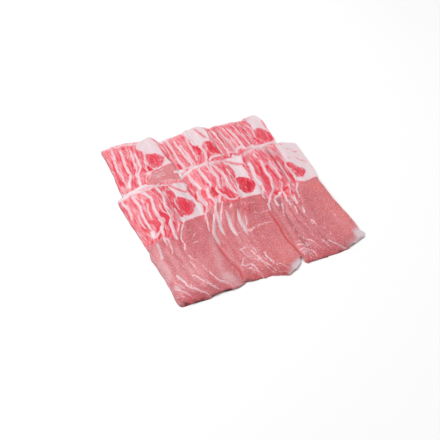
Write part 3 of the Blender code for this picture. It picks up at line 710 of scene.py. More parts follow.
RED_LINES = (  # half-width and depth of the red, then points. Partly red meat, partly painted shadow beside the rims of fat and along the left side of slice d1
    (1.4, 0.55, -116.5, 38.5, -115.2, 28.2, -113.3, 19.7, -112.3, 12.2, -111, 3.5, -109.5, -5.7),
    (1.6, 0.3, -102.7, 29.7, -101.9, 24, -101.8, 18.4),
    (1, 0.85, -100.2, 5.6, -100.3, 0.6, -100, -7.3, -99.2, -16, -98.1, -19.7),
    (1.7, 0.3, -95.4, 34.1, -92.7, 30.6, -90.4, 25.8),
    (1.4, 0.7, -87.7, 19.1, -86.6, 12.5, -87.9, 3.8, -88, -3.7, -87.2, -8.7),
    (2.6, 0.75, -94.3, -10.9, -89.6, -14.2, -85.9, -16.5, -87.6, -21.1, -90.3, -26.2),
    (2.4, 0.55, -105.2, -13.5, -102.7, -19.2, -105.1, -23.8),
    (1.8, 0.42, -74.3, 17.1, -74.4, 11.5, -77.5, 6),
    (0.9, 0.95, -74.3, 4.5, -74.2, -1.4, -73.6, -6.7),
    (2.5, 0.9, -80.2, -6.7, -77.1, -11.3, -74.4, -15.8, -77.4, -22),
    (1.4, 0.5, -66.3, 8, -67, -0.4, -66.2, -9.9),
    (0.9, 0.95, -63.3, 2.3, -63.2, -5.3, -61.2, -8.9),
    (1, 1.1, -88.4, -28.8, -88.8, -32.2, -93.2, -36.3),
    (1.1, 1.05, -77.2, -31, -78.9, -34.6, -82.5, -39.3),
    (0.8, 1.05, -101.1, -34.8, -100.6, -37.2, -103.1, -37.1),
    (0.9, 0.8, -88.3, -56.3, -87.7, -60.6),
    (0.8, 0.6, -90.2, -42.2, -90.3, -48.7, -89.2, -53.7),
    (1.2, 0.75, -79.5, -42.1, -78.4, -48.1, -77, -54.2, -76, -58.3),
    (1.1, 0.7, -72.1, -39.1, -73.1, -45.7, -73.1, -53.8, -73.2, -58.8),
    (0.9, 0.6, -64.4, -28.8, -67.2, -34, -70, -40.1),
    (0.8, 0.8, -105.6, -33.4, -106.8, -40.9),
    (1.4, 0.35, -80.5, 27.2, -78.5, 22.4, -75.8, 23.4),
    (1, 0.4, -65.9, -18.9, -69.4, -24.2, -71.6, -23.8),
    (2, 1.15, 27, -5.3, 27.3, -10.1, 25.5, -14),
    (1.2, 1.15, 36, -2.2, 35, -7.2),
    (1.5, 0.55, 14.5, 25.9, 17.5, 21, 17.7, 13.6, 16.7, 5.6, 15.1, -2.8),
    (3, 1.05, -12.9, 1.1, -12, -4.6),
    (1.4, 1.15, -13.3, 4.1, -9.9, 2.2),
    (3, 0.78, -23.2, 6.9, -22.3, 1.9),
    (2, 0.6, -26.5, 1, -23.8, -4.6, -20.1, -6),
    (1.2, 1.15, -31.8, 9.8, -32.9, 4.9),
    (1, 0.7, -35.5, 4.4, -33.3, -1.4, -31.1, -8.1, -29.7, -12.6),
    (0.8, 1.15, -5.2, -4.2, -3.6, -8.4, -1.3, -11.7),
    (0.7, 1.1, 0.9, -1.8, 0.1, -5),
    (0.5, 1.2, 4.9, -8, 6.2, -12.6, 7.3, -16.1),
    (0.6, 1.1, -0.3, -16.1, 3.7, -18.5),
    (0.9, 1.05, 10.8, -19.1, 13.9, -20.5),
    (0.9, 0.9, 9.6, -23.6, 9.1, -26.9),
    (0.7, 0.85, -5.1, 25.8, -4, 20.4, -3.2, 13.6),
    (0.7, 0.85, -16.4, 27.6, -15.3, 19.8, -14.7, 10.9),
    (1.3, 0.3, -20.8, 45.7, -19.8, 38.2, -19.4, 32.9),
    (1.5, 0.3, -11.5, 40.4, -11.4, 33.4, -11.9, 23.7),
    (1.4, 0.38, 6.5, 35.2, 8.8, 28.7, 10, 23.4),
    (1, 0.6, -9.9, 23.6, -11.2, 17.3),
    (0.8, 0.6, 1, 35.4, 1.2, 26.7, 2.5, 17.7),
    (0.7, 0.6, 2.4, 13.5, 0.5, 5.1),
    (0.7, 0.55, 11.6, 19.2, 10.4, 8.5, 9, -0.5),
    (0.7, 0.75, -4.2, 1.9, -3.3, -3.7),
    (4, 0.55, -9.5, -18.1, -4.5, -21.9, 1.4, -23.5),
    (2.5, 0.45, -22.8, -10.3, -18.9, -12.8),
    (1.2, 0.5, -23.5, -16, -25.5, -22.7, -28.2, -31),
    (1, 0.45, -15.2, -17.8, -18, -26.2, -20.4, -33.9),
    (1, 0.45, -10.3, -23.7, -13, -30),
    (2.2, 0.3, 14.2, -31.8, 16.9, -36.6),
    (3.5, 0.55, 11.1, -40.3, 12.7, -45.7),
    (2.5, 0.45, 7.7, -27.8, 7.5, -33.8),
    (1, 0.6, 0.2, -26.2, -0.4, -33.2),
    (1.4, 0.35, -34.3, 45.6, -33.6, 36.2, -33.7, 25.1, -33.5, 16.8),
    (1.2, 0.35, -26.9, 24.8, -25.6, 15.4, -21.8, 10.3),
    (1.5, 0.42, 78.4, 46.8, 80.4, 39, 81, 29.4, 81.6, 22),
    (1.2, 0.4, 69.7, 38.8, 71.6, 30.8),
    (1.3, 0.35, 59.7, 43.9, 61.7, 36, 64.5, 29.8),
    (2.6, 0.72, 52.8, 14.9, 51.9, 5.1, 52.4, -3.6),
    (1.3, 0.85, 60.4, 13.3, 61.3, 5.4, 62.8, -5, 64.2, -11.7),
    (0.9, 0.8, 68.5, 4.9, 69.8, -4, 71.1, -8.8),
    (0.6, 0.95, 81.6, 0.9, 82.2, -7.2, 84, -18.4),
    (0.6, 0.95, 84.6, 1.2, 85.5, -8, 86.8, -16.5),
    (2.2, 0.9, 52.5, -25.5, 54.9, -26.2, 57.7, -26),
    (2.2, 0.9, 65.3, -26.2, 67.7, -26.1),
    (1.1, 1.05, 64, -33.5, 63.9, -34.6),
    (0.5, 1.1, 69.9, -31.7, 70.1, -38.5),
    (0.5, 1, 59.9, -30, 58.1, -37.2),
    (1.2, 0.7, 72.4, -38.3, 69.8, -46.1),
    (2, 0.5, 51.8, -12.7, 48.9, -20.5, 42.4, -26.5),
    (0.5, 1, 43.6, -31.6, 39.6, -35.1),
    (1.4, 0.55, 61, -12.6, 60.6, -19),
    (1.1, 0.5, 70.4, -16, 68.4, -21.9),
    (1, 0.8, 61.4, -37.8, 62, -40.4),
    (1.4, 0.6, 40.1, 17.7, 37.9, 6.9, 37.1, -2.9, 38.5, -11.7, 39.6, -17.1),
    (0.8, 1.1, 41.4, -11.2, 40, -16.2),
    (0.6, 0.7, 63.6, -46, 65.5, -58.2, 65, -69.6, 67.7, -76.2),
    (0.6, 0.6, 57.9, -48.5, 58.2, -58.5, 59.7, -73, 59.8, -81.4),
    (2.3, 0.5, -93.7, 125, -93.4, 118, -94.7, 111.1),
    (1.2, 1, -92.1, 100, -93.1, 90.5, -92, 81.1, -91.8, 73.7),
    (1.3, 0.8, -101.4, 117.8, -103, 104.5, -104.8, 90.4, -104.2, 80.7, -104.1, 70.9),
    (2, 0.9, -104.5, 73.5, -104.3, 66.5),
    (1.2, 0.9, -82.6, 95.6, -83.1, 87.4),
    (0.8, 0.9, -81, 81.1, -80.7, 70.2),
    (1.2, 0.65, -68.3, 95.9, -71, 86.5, -72.2, 79.6),
    (1.6, 0.65, -90, 61.7, -89.8, 51.1),
    (0.9, 0.7, -81.7, 56.1, -83.2, 47),
    (0.8, 0.7, -77.8, 55.8, -79.4, 44.3),
    (1.8, 0.4, -82.7, 124.2, -81.2, 115.8, -82.1, 108.2),
    (1.3, 0.45, -71.9, 108.3, -71.6, 101.7),
    (2.4, 0.3, -106.3, 131.5, -107.4, 116.8, -108.5, 104.6),
    (1.4, 0.55, -73.7, 100.4, -74.5, 92.9),
    (1.3, 0.6, -88.2, 93.7, -89, 86.1),
    (1.2, 0.4, -89.9, 71.1, -87.3, 63.3),
    (1.2, 1.2, 21.4, 85.6, 22.5, 73.3, 23.2, 64.8),
    (2.6, 0.75, 6.1, 67, 2.3, 53.1),
    (1, 0.7, -10.9, 77.4, -10.2, 66.7, -11.2, 58.1),
    (1.3, 0.5, -29.6, 98.5, -28.6, 85.4, -30.3, 71.1),
    (1.6, 0.9, -30.9, 71.1, -30.7, 62),
    (0.8, 0.7, -21.1, 85.6, -20.1, 75.8),
    (1.6, 0.4, -22.5, 69.5, -20.7, 64.9),
    (1.5, 0.35, -12.5, 111.2, -9.8, 102.4, -8.8, 92.2),
    (1.6, 0.3, -29.6, 119, -27.6, 107.4),
    (1, 0.5, 1.5, 77.9, 0, 65.2, -0.7, 54.5),
    (1, 0.85, 77.4, 98.7, 76.6, 89.6, 74.3, 80),
    (1.6, 0.75, 72.2, 71.4, 74.8, 63.5),
    (0.8, 0.8, 44.9, 110.5, 47, 99.3, 48.1, 87.2),
    (1.2, 0.6, 52.1, 110.9, 54.4, 101.5, 54.7, 93.7),
    (0.8, 0.75, 30.1, 91.7, 31.1, 79.5, 31.2, 68.1),
    (0.7, 0.8, 51.3, 91.6, 52.5, 77.3, 53.5, 68.5),
    (0.7, 0.8, 62.8, 89.2, 64.5, 79.2, 64.2, 67.6),
    (0.9, 0.75, 65.9, 104.8, 66.8, 92.6, 68.2, 84.5),
    (1.4, 0.8, 24.7, 68.5, 25.1, 53.7),
    (1, 0.5, 34.9, 118.6, 35.3, 104.2, 36.1, 94.1),
    (1, 0.5, 25.5, 104.6, 25.9, 90.4, 27.5, 82.4),
    (0.8, 0.7, 40.2, 83.4, 41.7, 72.7),
    (1.5, 0.6, 31.9, 58.4, 36.6, 55.3),
    (0.7, 0.7, 47.6, 72, 51.3, 66.3),
    (0.7, 0.9, -104.5, -1.3, -103.2, -11.5, -101.5, -20.3),
    (0.8, 0.9, -11.6, 5.1, -11.1, -2.5, -11.2, -8.7),
    (0.8, 1, 0, -1.6, 0.6, -7.2),
    (0.7, 0.9, 3.1, -10.1, 4.9, -17.4),
    (0.8, 0.9, 10.2, -18.1, 12.7, -22.3),
    (0.6, 0.9, -79.1, -2.7, -77.8, -11.8, -77, -19.3),
    (0.7, 0.8, -111.9, 32.8, -112.5, 19.2, -112.2, 8.8),
)
BANDS = (  # streaks of meat in the fat: half-width and depth of the red, then points
    (1.7, 0.25, -59, 30.3, -54.6, 27.8, -51.4, 24.1, -46.2, 20.1, -39.5, 17.9),
    (2.1, 0.12, 15.5, 38.2, 23, 36, 29.5, 31, 34.9, 29.5),
    (2.4, 0.5, 34.9, 29.5, 37.6, 23.8, 37.8, 14.9, 37.3, 6.2, 36.3, -1.7),
    (0.8, 0.1, 100.8, 17.8, 103.3, 15, 106.4, 11.6, 109.7, 10.3, 111.1, 7.4),
    (0.5, 0.1, 91.3, 43.5, 94.2, 41.6),
    (0.5, 0.1, 97.5, 34.4, 99.5, 34.4),
    (0.9, 0.2, 103.4, 28.5, 109, 29.6),
    (0.5, 0.1, 89.4, 15.5, 91.3, 15.5),
    (0.4, 0.1, 102.3, 34, 103.7, 33.2),
    (1.6, 0.3, 9.3, 119.8, 11.5, 112.8, 14.1, 106.3, 16.4, 99.8),
)
FILMS = (  # whitish skin, and painted highlight where the veils run along the far ends and where the wide band lies on the right side of bundle d: half-width and strength, then points
    (1.7, 0.8, -96.8, -42.7, -97.7, -51.8, -99, -63.4),
    (5, 0.2, -39.4, -58.3, -42.4, -76.9, -45.9, -93.7, -49.2, -107),
    (9, 0.4, -46.5, -113.9, -41.6, -123.4, -36.3, -129),
    (2.5, 0.5, -99.7, -105.3, -95.5, -108.9),
    (4, 0.3, -102.7, -67.4, -100.6, -80.4, -101.3, -91.6),
    (10, 1.7, 116.6, -121.5, 111.7, -118.8),
    (4.5, 1.1, 33, -125.5, 24, -130.5),
    (7, 0.9, 108.4, -124, 94.8, -130.4),
    (6, 1, 117.9, -105, 117.5, -114.3),
    (6, 0.8, 34.1, -125.6, 27.5, -130.7, 18.5, -136.5),
    (1.5, 0.4, -67.5, 56.5, -61, 57.5, -53.8, 60.5),
    (5, 0.5, 44.9, 46.9, 58.9, 51.3, 70.6, 41.9, 80, 28),
    (3, 0.3, -113.5, 48.1, -99.9, 46.7, -84.9, 32.2),
    (3.5, 0.3, -36.5, 45.2, -21.5, 54.8, -6.9, 41.2, 8.5, 37.9),
    (3.5, 0.4, -36.3, 129.9, -22.8, 129.9, -8, 125),
)
FINS = (  # blades of fat with skin on their right and painted shadow on their left: width and strength, then points
    (4.5, 0.6, -24.2, -26, -30.5, -39.7, -35.5, -50.3, -36.8, -57.7, -36.1, -64.6, -35.4, -71.3),
    (4.2, 0.9, -19.3, -20.1, -21.8, -29, -24.4, -39.4, -26.6, -49.1, -26.5, -56, -25.3, -62.9),
    (4.6, 0.8, -11, -28.3, -13, -37.2, -15, -47.4, -15.9, -56.4, -15.3, -63.2, -13.7, -69.1),
    (4.8, 0.8, 1.2, -34.2, -2.6, -44.1, -4.4, -52.3, -4.5, -60.5, -4.5, -67.1, -3.6, -75.7),
    (2.5, 0.4, 4.3, -49, 2.5, -55.7, -0.2, -63),
)
CREASES = (  # soft hollows, sunk into the surface and painted with reddish shade: width and depth, then points
    (1.5, 1, -38.4, -61.7, -37.8, -71.4, -36.2, -81.5, -34.8, -91.8, -32.4, -102.2, -30.8, -109.1, -30.7,
     -116.5, -31.1, -125, -30.4, -128.5),
    (1.6, 1, 35.4, -40.6, 34.7, -52.4, 35.5, -63.6, 35, -77, 33.7, -89.4, 34.8, -99.3, 36.8, -107.3, 37.9,
     -114.3, 38.6, -122.1, 37.1, -127.2),
    (0.9, 0.6, 57.6, -49.2, 57.9, -60.9, 57.8, -73.4, 59.2, -82.6, 61.2, -90.3, 62.1, -95.7),
    (0.9, 0.6, 65, -46.7, 64.6, -59.9, 65.2, -68.5, 66.2, -76, 68.5, -81),
    (0.8, 0.5, 69, -98.6, 70, -108.1, 71.8, -116),
    (0.8, 0.4, -33.6, -26.5, -37.7, -39.5, -39.1, -51.7),
    (0.8, 0.8, 24.4, 118.6, 23.9, 95.5, 23.2, 64.6, 26.5, 55.2),
    (0.7, 0.6, -42.7, 121, -38.2, 91.4, -35.1, 68.6, -34.5, 58.5),
)
NEAR_LIMIT = {  # how far the near ends reach, from left to right
    "d": (-105, -121.6, -105, -129, -97.2, -132.5, -92.7, -129.2, -84.2, -129.6, -77.7, -129.8, -71.7,
          -131.1, -65.4, -129.1, -60, -129.5, -53.8, -128.1, -48.7, -129, -42.5, -130.4, -36.8, -130.1,
          -30.3, -128.1, -25.7, -128),
    "e": (-41, -126.8, -32.8, -126.2, -28.3, -126.2, -19.5, -129.4, -12.5, -129, -4.4, -131.2, 6, -133.7,
          16.9, -137.2, 27.8, -131.9, 38.3, -125.4, 45, -121.6),
    "f": (39.3, -123.6, 39.9, -129.2, 41.5, -130.6, 44.7, -129.1, 52.4, -130.3, 60.1, -131.5, 68.2,
          -132.2, 75.3, -132.4, 81.9, -131.5, 88.1, -131.3, 94.2, -129.3, 102.3, -126, 109.2, -122.8,
          115.2, -123.1, 121.9, -120.5),
}
NEAR_EDGE = (*NEAR_LIMIT["d"][:-4], *NEAR_LIMIT["e"][4:-4], *NEAR_LIMIT["f"][2:])
SHADED = (  # painted shade in the dark gaps and undersides at the near edge: strength, middle and radius
    (0.95, -96.6, -128.1, 3.2),
    (0.7, -101.7, -127.2, 4),
    (0.7, -78.6, -129.4, 4),
    (0.6, -87, -128.4, 3.5),
    (0.5, -27, -126, 3.5),
    (0.6, -21.4, -128.5, 3),
    (0.9, 79.6, -131.2, 3.5),
    (0.6, 60.4, -130.9, 3),
    (0.5, 42.1, -129.4, 2.5),
    (0.4, -51.7, -128.3, 3),
)
FAT_AREAS = (  # outlines
    (-59, 28.1, -53.3, 31.4, -44.8, 34.4, -34.7, 32.4, -37.9, 22.2, -36.9, 14.3, -35.2, 7, -34.3, -0.6,
     -29.7, -6.1, -34.4, -21.7, -38.8, -21.2, -45.7, -23.8, -52, -24.8, -59.8, -28.1, -63.2, -25.6,
     -64.6, -19.4, -60.7, -21.1, -62.9, -15.3, -61.2, -0.8, -56, 12.6, -56.8, 21.8),
    (13.2, 38.9, 23.9, 43.9, 35.9, 55.8, 41.6, 44.5, 38.6, 32.8, 39.9, 25.2, 41.6, 18.3, 40.6, 8.7,
     38.7, -1.1, 38.8, -8.1, 39.6, -15.6, 35.3, -24.6, 26.5, -23, 17.2, -25, 12.5, -24.4, 11.3, -19.7,
     10.9, -15, 13.4, -4.8, 18.2, 8.2, 21, 21.2, 18.2, 30.6),
    (95, 60.4, 95.7, 50.5, 113.9, 50.6, 118.9, 48.6, 119.2, 33.7, 118.9, 7.1, 118.6, -18.5, 114.6, -18.7,
     103.4, -21.4, 90.8, -26.9, 84.1, -22, 82.2, -17.4, 82.2, -7.2, 81.9, 7.2, 84.4, 19.7, 85.4, 31.5,
     86.2, 42.1),
    (-68.1, 121.8, -57.9, 128.9, -48.5, 133, -44.9, 126.7, -41.2, 116, -41.2, 106.4, -41.2, 94.6,
     -39.2, 84.1, -36.5, 76, -39.7, 76.2, -51.8, 70.8, -62.5, 67, -70.6, 59.9, -73.7, 61, -74, 64.7,
     -70.6, 65.8, -67.1, 65.7, -68, 75.9, -66.6, 86.7, -62.5, 97.5, -64.3, 104.2, -69.1, 108.9,
     -69.4, 115.4),
    (-7.3, 118.7, 3.1, 122.8, 18, 126.4, 22.6, 117.5, 23.9, 110, 18.7, 90.8, 14.3, 92.1, 8.5, 87.1,
     1.5, 76.3, -1.1, 67.6, 1.1, 77.1, 0.7, 85, -3.6, 88, -4.6, 99.7, -7, 109.6),
    (75.9, 107.1, 89.3, 119.5, 95.7, 122, 100.1, 116, 97.2, 107, 95.9, 93.2, 98.1, 80.3, 99.7, 66.6,
     96.1, 49.7, 91.3, 58.5, 97.8, 68.8, 97.9, 77.4, 94.3, 85.9, 88.7, 90.3, 82, 89.7, 76.4, 84.5,
     77.7, 93.7, 78.6, 101.7),
)
OVALS = (  # small round muscles: depth of the red, then the outline
    (0.8, -55, 9.2, -51, 9.1, -47.1, 7.4, -44.1, 5.5, -39.8, 4.2, -37.5, -0.2, -38.3, -5.5, -41.8, -10.8,
     -45.6, -15.9, -49.8, -19.1, -53.3, -18.7, -55.8, -17.6, -58.6, -17.4, -58.5, -11.3, -59.3, -5.5,
     -58.6, 1.4),
    (0.72, -62.8, 22.6, -59.4, 22.9, -56.3, 19, -55.1, 14, -55.7, 10, -59.1, 3.4, -59.7, -2.6, -59, -7.5,
     -58.2, -14.2, -58.4, -19.7, -61.8, -20.2, -63.7, -15.2, -64.8, -8, -65.6, -3.9, -65.2, 2.8, -65.9, 9,
     -65.4, 14.1),
    (0.95, 18.9, 6.8, 25.1, 7.5, 29.2, 7.2, 31.8, 3.4, 34.5, 0.1, 36.4, -2.3, 36.1, -8.5, 31.6, -14.1,
     27.2, -17.6, 22.5, -18.8, 17.9, -17.9, 14.8, -13.8, 14.6, -9.5, 16, -5.1, 15.3, -0.5),
    (0.8, 83.7, 8.9, 87, 8, 90.5, 5.4, 93.5, 0.1, 97.4, -1.8, 101.5, -3.2, 100.8, -8.3, 96.4, -14.6,
     91.5, -18.5, 87.9, -18, 86.5, -15.3, 85.5, -8, 85.1, -1.5, 84.1, 3.9),
    (0.72, -62.1, 98.7, -54.2, 98.6, -46.6, 95.3, -42.2, 88.2, -45.7, 81.3, -50.5, 74.4, -56.1, 72.1,
     -61.2, 70.8, -64.2, 75.6, -65.5, 83.3, -65.8, 90.3),
    (0.95, -70.3, 81.9, -67.2, 78.2, -64.5, 72.3, -63.1, 68.5, -68.5, 66.1, -71.3, 70.6),
    (0.9, -5.5, 89.7, 0.1, 86.6, 1.5, 77.9, 0.9, 71, -4.4, 69.3, -5.5, 79),
    (0.95, 12.6, 90.8, 20, 91.1, 21.2, 83.7, 22.3, 72.4, 23.6, 63.8, 20, 64.6, 11.7, 67.5, 10.7, 77),
    (0.75, 75.4, 83.8, 81.6, 88.9, 88.3, 89.6, 94.1, 85.5, 97.9, 76.9, 98, 68.7, 90.9, 62.3, 83.1, 59.8,
     78.1, 65.2, 73.9, 72.3),
)
LEAN_FROM = {  # where the lean part begins, from left to right
    "d": (-115.8, -46.4, -110.1, -42.2, -104.7, -39.4, -98.3, -38.5, -89, -36.9, -83.2, -39.3, -77.4, -43.3,
          -72.7, -40.7, -66.6, -32.4, -61.1, -28.9, -52.1, -25, -38.9, -21.4),
    "e": (-48, -50.6, -31.6, -23.5, -23.9, -16.8, -15.5, -14.6, -5.9, -21.1, 1, -24.4, 9.2, -24.4,
          17, -25.4, 26.3, -23.4, 35.8, -24.5),
    "f": (31.8, -33.7, 37.7, -34.5, 45.6, -34.9, 55.8, -32.7, 62.4, -39.5, 68.8, -40.9, 78.1, -31,
          83, -24.1, 90.9, -26.7, 103.3, -21.6, 118.6, -18.5),
    "a": (-115.7, 44.2, -96.1, 30.4, -85.6, 37.8, -74.5, 54.2, -69.6, 59.5, -62.8, 65.9, -52.3, 69.4,
          -36.8, 75.2),
    "b": (-60.5, 35.5, -41.8, 46, -28.8, 53.2, -18.4, 45.1, -6.2, 40.1, 18.4, 43),
    "c": (5.8, 29.7, 31.9, 35.9, 58.9, 42.7, 95.4, 41.9),
}
FAR_RIM = 1.5  # fat along the far ends
OVAL_RIM = 0.4  # fat round the ovals
# Tints of the lean part: how pale, how warm and how mauve
LEAN_TINTS = {"a": (0.8, 0.75, 0.0), "b": (0.5, 0.2, 0.0), "c": (0.5, 0.2, 0.0),
              "d": (0.2, 0.0, 0.35), "e": (0.12, 0.2, 0.2), "f": (0.08, 0.15, 0.75)}
SPOTS = (  # tint, how much, middle, reach across and along
    ("warm", 0.8, 98, -33, 14, 12), ("warm", 1.0, 102, -84, 13, 34), ("pale", 0.35, 99, -95, 8, 28),
    ("warm", 0.9, 27, -113, 14, 18), ("pale", 0.4, 26, -110, 15, 20), ("pale", 0.7, -105, -65, 8, 26),
    ("pale", 0.35, -96, -100, 14, 20), ("pale", 0.5, -68, -100, 14, 14), ("warm", 0.4, -58, -92, 10, 12),
    ("pale", 0.4, -57, -88, 12, 12), ("deep", 0.22, 55, -122, 16, 9), ("deep", 0.18, 0, -127, 14, 8),
    ("warm", 0.5, -5, -120, 16, 14), ("pale", 0.3, -15, -95, 12, 14), ("deep", 0.3, -62, -30, 20, 12),
    ("deep", 0.12, -64, -52, 18, 14), ("deep", 0.35, 12, -30, 22, 12), ("deep", 0.5, 11.6, -41.1, 5, 6),
)
BUMPS = ((-99.6, -126.1, 3.6, 2.4),)  # middle, radius and height

NOWHERE = -9.0  # depth inside a mark at points that are not near it
ENDLESS = math.inf  # size along which nothing changes
UNEVEN = {  # random bumps: height, size across and along in millimetres, and seed
    "near_end": ((0.5, 2.2, ENDLESS, 67), (0.3, 1.0, ENDLESS, 68)),
    "fat_width": ((0.3, 3.0, 3.5, 51), (0.15, 1.4, 1.6, 50)),
    "fat_across": ((0.35, 3.0, 4.5, 52),),
    "fat_along": ((0.35, 3.0, 4.5, 53),),
    "far_rim": ((0.8, 5.0, 5.0, 63),),
    "far_end": ((2.0, 3.0, 3.0, 74),),
    "rough_across": ((0.5, 2.0, 2.0, 55), (0.25, 0.9, 0.9, 56)),
    "rough_along": ((0.5, 2.0, 2.0, 57), (0.25, 0.9, 0.9, 58)),
    "streaks": ((0.26, 2.6, 9.0, 59), (0.14, 1.3, 5.0, 60)),
    "band": ((0.1, 1.5, 3.0, 61),),
    "oval_edge": ((0.7, 1.3, 1.5, 71),),
    "oval": ((0.16, 1.8, 2.6, 62),),
    "oval_fibres": ((1.0, 1.0, 4.5, 72),),
    "lean_from": ((0.5, 2.0, 2.0, 54),),
    "pale": ((0.15, 9.0, 14.0, 64),),
    "warm": ((0.12, 11.0, 15.0, 65),),
    "mauve": ((0.15, 12.0, 12.0, 66),),
    "near_edge_shade": ((0.35, 6.0, 4.0, 70),),
    "near_shade": ((0.6, 4.0, ENDLESS, 69),),
    "left_shade": ((0.4, 6.0, ENDLESS, 73),),
}
LATTICE = 32  # bumps before they repeat
STREAKS = {"b": 0.35, "c": 0.35}  # mean redness of the streaky ends that are paler than the rest
STREAKS_ELSEWHERE = 0.43
FAR_END_PALER = 0.45
FAT_RISE = 0.3  # height of the fat above the meat, in millimetres
CREASE_SINK = 1.3  # depth of a crease of depth 1, in millimetres


def noise(x, y, seed):
    """Smooth random values between -1 and 1 on the plane, a bump or a dip per unit."""
    lattice = np.random.default_rng(seed).uniform(-1.0, 1.0, (LATTICE, LATTICE))
    x, y = np.broadcast_arrays(x, y)
    i, j = np.floor(x).astype(int), np.floor(y).astype(int)
    s, t = smooth_step(0.0, 1.0, x - i), smooth_step(0.0, 1.0, y - j)
    i, i_next, j, j_next = i % LATTICE, (i + 1) % LATTICE, j % LATTICE, (j + 1) % LATTICE
    low = lattice[i, j] * (1.0 - s) + lattice[i_next, j] * s
    high = lattice[i, j_next] * (1.0 - s) + lattice[i_next, j_next] * s
    return low * (1.0 - t) + high * t


def uneven(name, x, y):
    return sum(height * noise(x / across, y / along, seed) for height, across, along, seed in UNEVEN[name])


def rounded(points, closed):
    """The same line with three more points on each stretch, so that its corners are round."""
    count = len(points)
    made = []
    for i in range(count if closed else count - 1):
        around = range(i - 1, i + 3)
        p = [points[k % count if closed else min(max(k, 0), count - 1)] for k in around]
        for t in (0.0, 0.25, 0.5, 0.75):
            made.append(0.5 * (2.0 * p[1] + (p[2] - p[0]) * t
                               + (2.0 * p[0] - 5.0 * p[1] + 4.0 * p[2] - p[3]) * t**2
                               + (3.0 * p[1] - p[0] - 3.0 * p[2] + p[3]) * t**3))
    return np.array(made if closed else [*made, points[-1]])


def line_of(numbers):
    """Points from a list of x, y, x, y and so on."""
    return np.array(numbers, float).reshape(-1, 2)


def height_of_line(numbers, x):
    """y of a line that runs from left to right."""
    line = line_of(numbers)
    return np.interp(x, line[:, 0], line[:, 1])


def to_line(x, y, points):
    """Distance to a line through these points, and the share of the line at which it is nearest."""
    nearest = np.full(x.shape, 1e9)
    share = np.zeros(x.shape)
    steps = len(points) - 1
    for k in range(steps):
        (ax, ay), (bx, by) = points[k], points[k + 1]
        ex, ey = bx - ax, by - ay
        t = np.clip(((x - ax) * ex + (y - ay) * ey) / max(ex * ex + ey * ey, 1e-9), 0.0, 1.0)
        away = np.hypot(x - ax - ex * t, y - ay - ey * t)
        closer = away < nearest
        nearest = np.where(closer, away, nearest)
        share = np.where(closer, (k + t) / steps, share)
    return nearest, share


def depth_inside(x, y, numbers):
    """Distance to a closed outline, above zero inside it."""
    outline = rounded(line_of(numbers), True)
    away, _ = to_line(x, y, np.concatenate([outline, outline[:1]]))
    within = np.zeros(x.shape, bool)
    for (ax, ay), (bx, by) in zip(outline, np.roll(outline, -1, axis=0)):
        if ay != by:
            within ^= ((ay > y) != (by > y)) & (x < (bx - ax) * (y - ay) / (by - ay) + ax)
    return np.where(within, away, -away)


def laid(rows, x, y, start, reach, value):
    """Highest value along the lines of a table, whose rows hold two numbers and then the line's points. reach
    is given the first number, value both and then the distance and the share of the line."""
    field = np.full(x.shape, start)
    for first, second, *numbers in rows:
        line = rounded(line_of(numbers), False)
        far = reach(first)
        low, high = line.min(axis=0) - far, line.max(axis=0) + far
        close = (x > low[0]) & (x < high[0]) & (y > low[1]) & (y < high[1])
        if close.any():
            away, share = to_line(x[close], y[close], line)
            field[close] = np.maximum(field[close], value(first, second, away, share))
    return field


def hump(share, steepness):
    """Rises from 0 at a line's ends to 1."""
    return np.clip(steepness * share * (1.0 - share), 0.0, 1.0)


def fat_lines(x, y):
    """How far inside a line of fat the points lie."""
    shifted_x = x + uneven("fat_across", x, y)
    shifted_y = y + uneven("fat_along", shifted_x, y)
    field = laid(FAT_LINES, shifted_x, shifted_y, NOWHERE, lambda start: 3.0,
                 lambda start, end, away, share: (start + (end - start) * share)
                 * np.clip(9.0 * share * (1.0 - share) + 0.4, 0.0, 1.0) - away)
    return np.where(field > NOWHERE, field + uneven("fat_width", x, y), field)


def creases(x, y):
    return laid(CREASES, x, y, 0.0, lambda width: 3.0 * width,
                lambda width, depth, away, share: depth * np.exp(-(away / width) ** 2) * hump(share, 6.0))


def inward(x, y):
    """Distance from the near edge of the pile."""
    return y - height_of_line(NEAR_EDGE, x)


def relief(x, y):
    """How much the surface of the whole pile rises or sinks, in metres."""
    rise = FAT_RISE * smooth_step(-0.4, 0.9, fat_lines(x, y)) - CREASE_SINK * creases(x, y)
    for middle_x, middle_y, radius, height in BUMPS:
        rise = rise + height * np.exp(-((x - middle_x) ** 2 + (y - middle_y) ** 2) / radius**2)
    return rise * MM


def streaky_end(piece, v, x, y, rough_x, rough_y, red):
    """Redness of the streaky end, and how far inside its fat the points lie, without the lines of fat."""
    fat = np.full(x.shape, NOWHERE)
    for outline in FAT_AREAS:
        fat = np.maximum(fat, depth_inside(rough_x, rough_y, outline))
    deep = STREAKS.get(piece.bundle, STREAKS_ELSEWHERE) + uneven("streaks", x, y)
    if piece.bundle != "c":
        deep = deep - FAR_END_PALER * (1.0 - smooth_step(1.0, 9.0, v + uneven("far_end", x, y)))
    deep = np.maximum(deep, red)
    for row in BANDS:
        band = laid((row,), rough_x, rough_y, NOWHERE, lambda half: half + 2.0,
                    lambda half, depth, away, share: half
                    * np.clip(6.0 * share * (1.1 - share), 0.35, 1.0) - away)
        deep = np.where(band > -0.4, row[1] + uneven("band", x, y), deep)
        fat = np.minimum(fat, -band)
    muscle = np.full(x.shape, NOWHERE)
    for depth, *outline in OVALS:
        here = depth_inside(rough_x, rough_y, outline) + uneven("oval_edge", x, y)
        core = 0.14 * smooth_step(1.0, 6.0, here) + uneven("oval", x, y) - 0.14
        core = core - 0.7 * np.maximum(uneven("oval_fibres", x, y) - 0.25, 0.0)
        deep = np.where(here > 0.0, np.maximum(depth + core, red), deep)
        muscle = np.maximum(muscle, here)
    fat = np.maximum(fat, OVAL_RIM - np.abs(muscle + OVAL_RIM + 0.2))
    return deep, np.minimum(fat, -muscle)


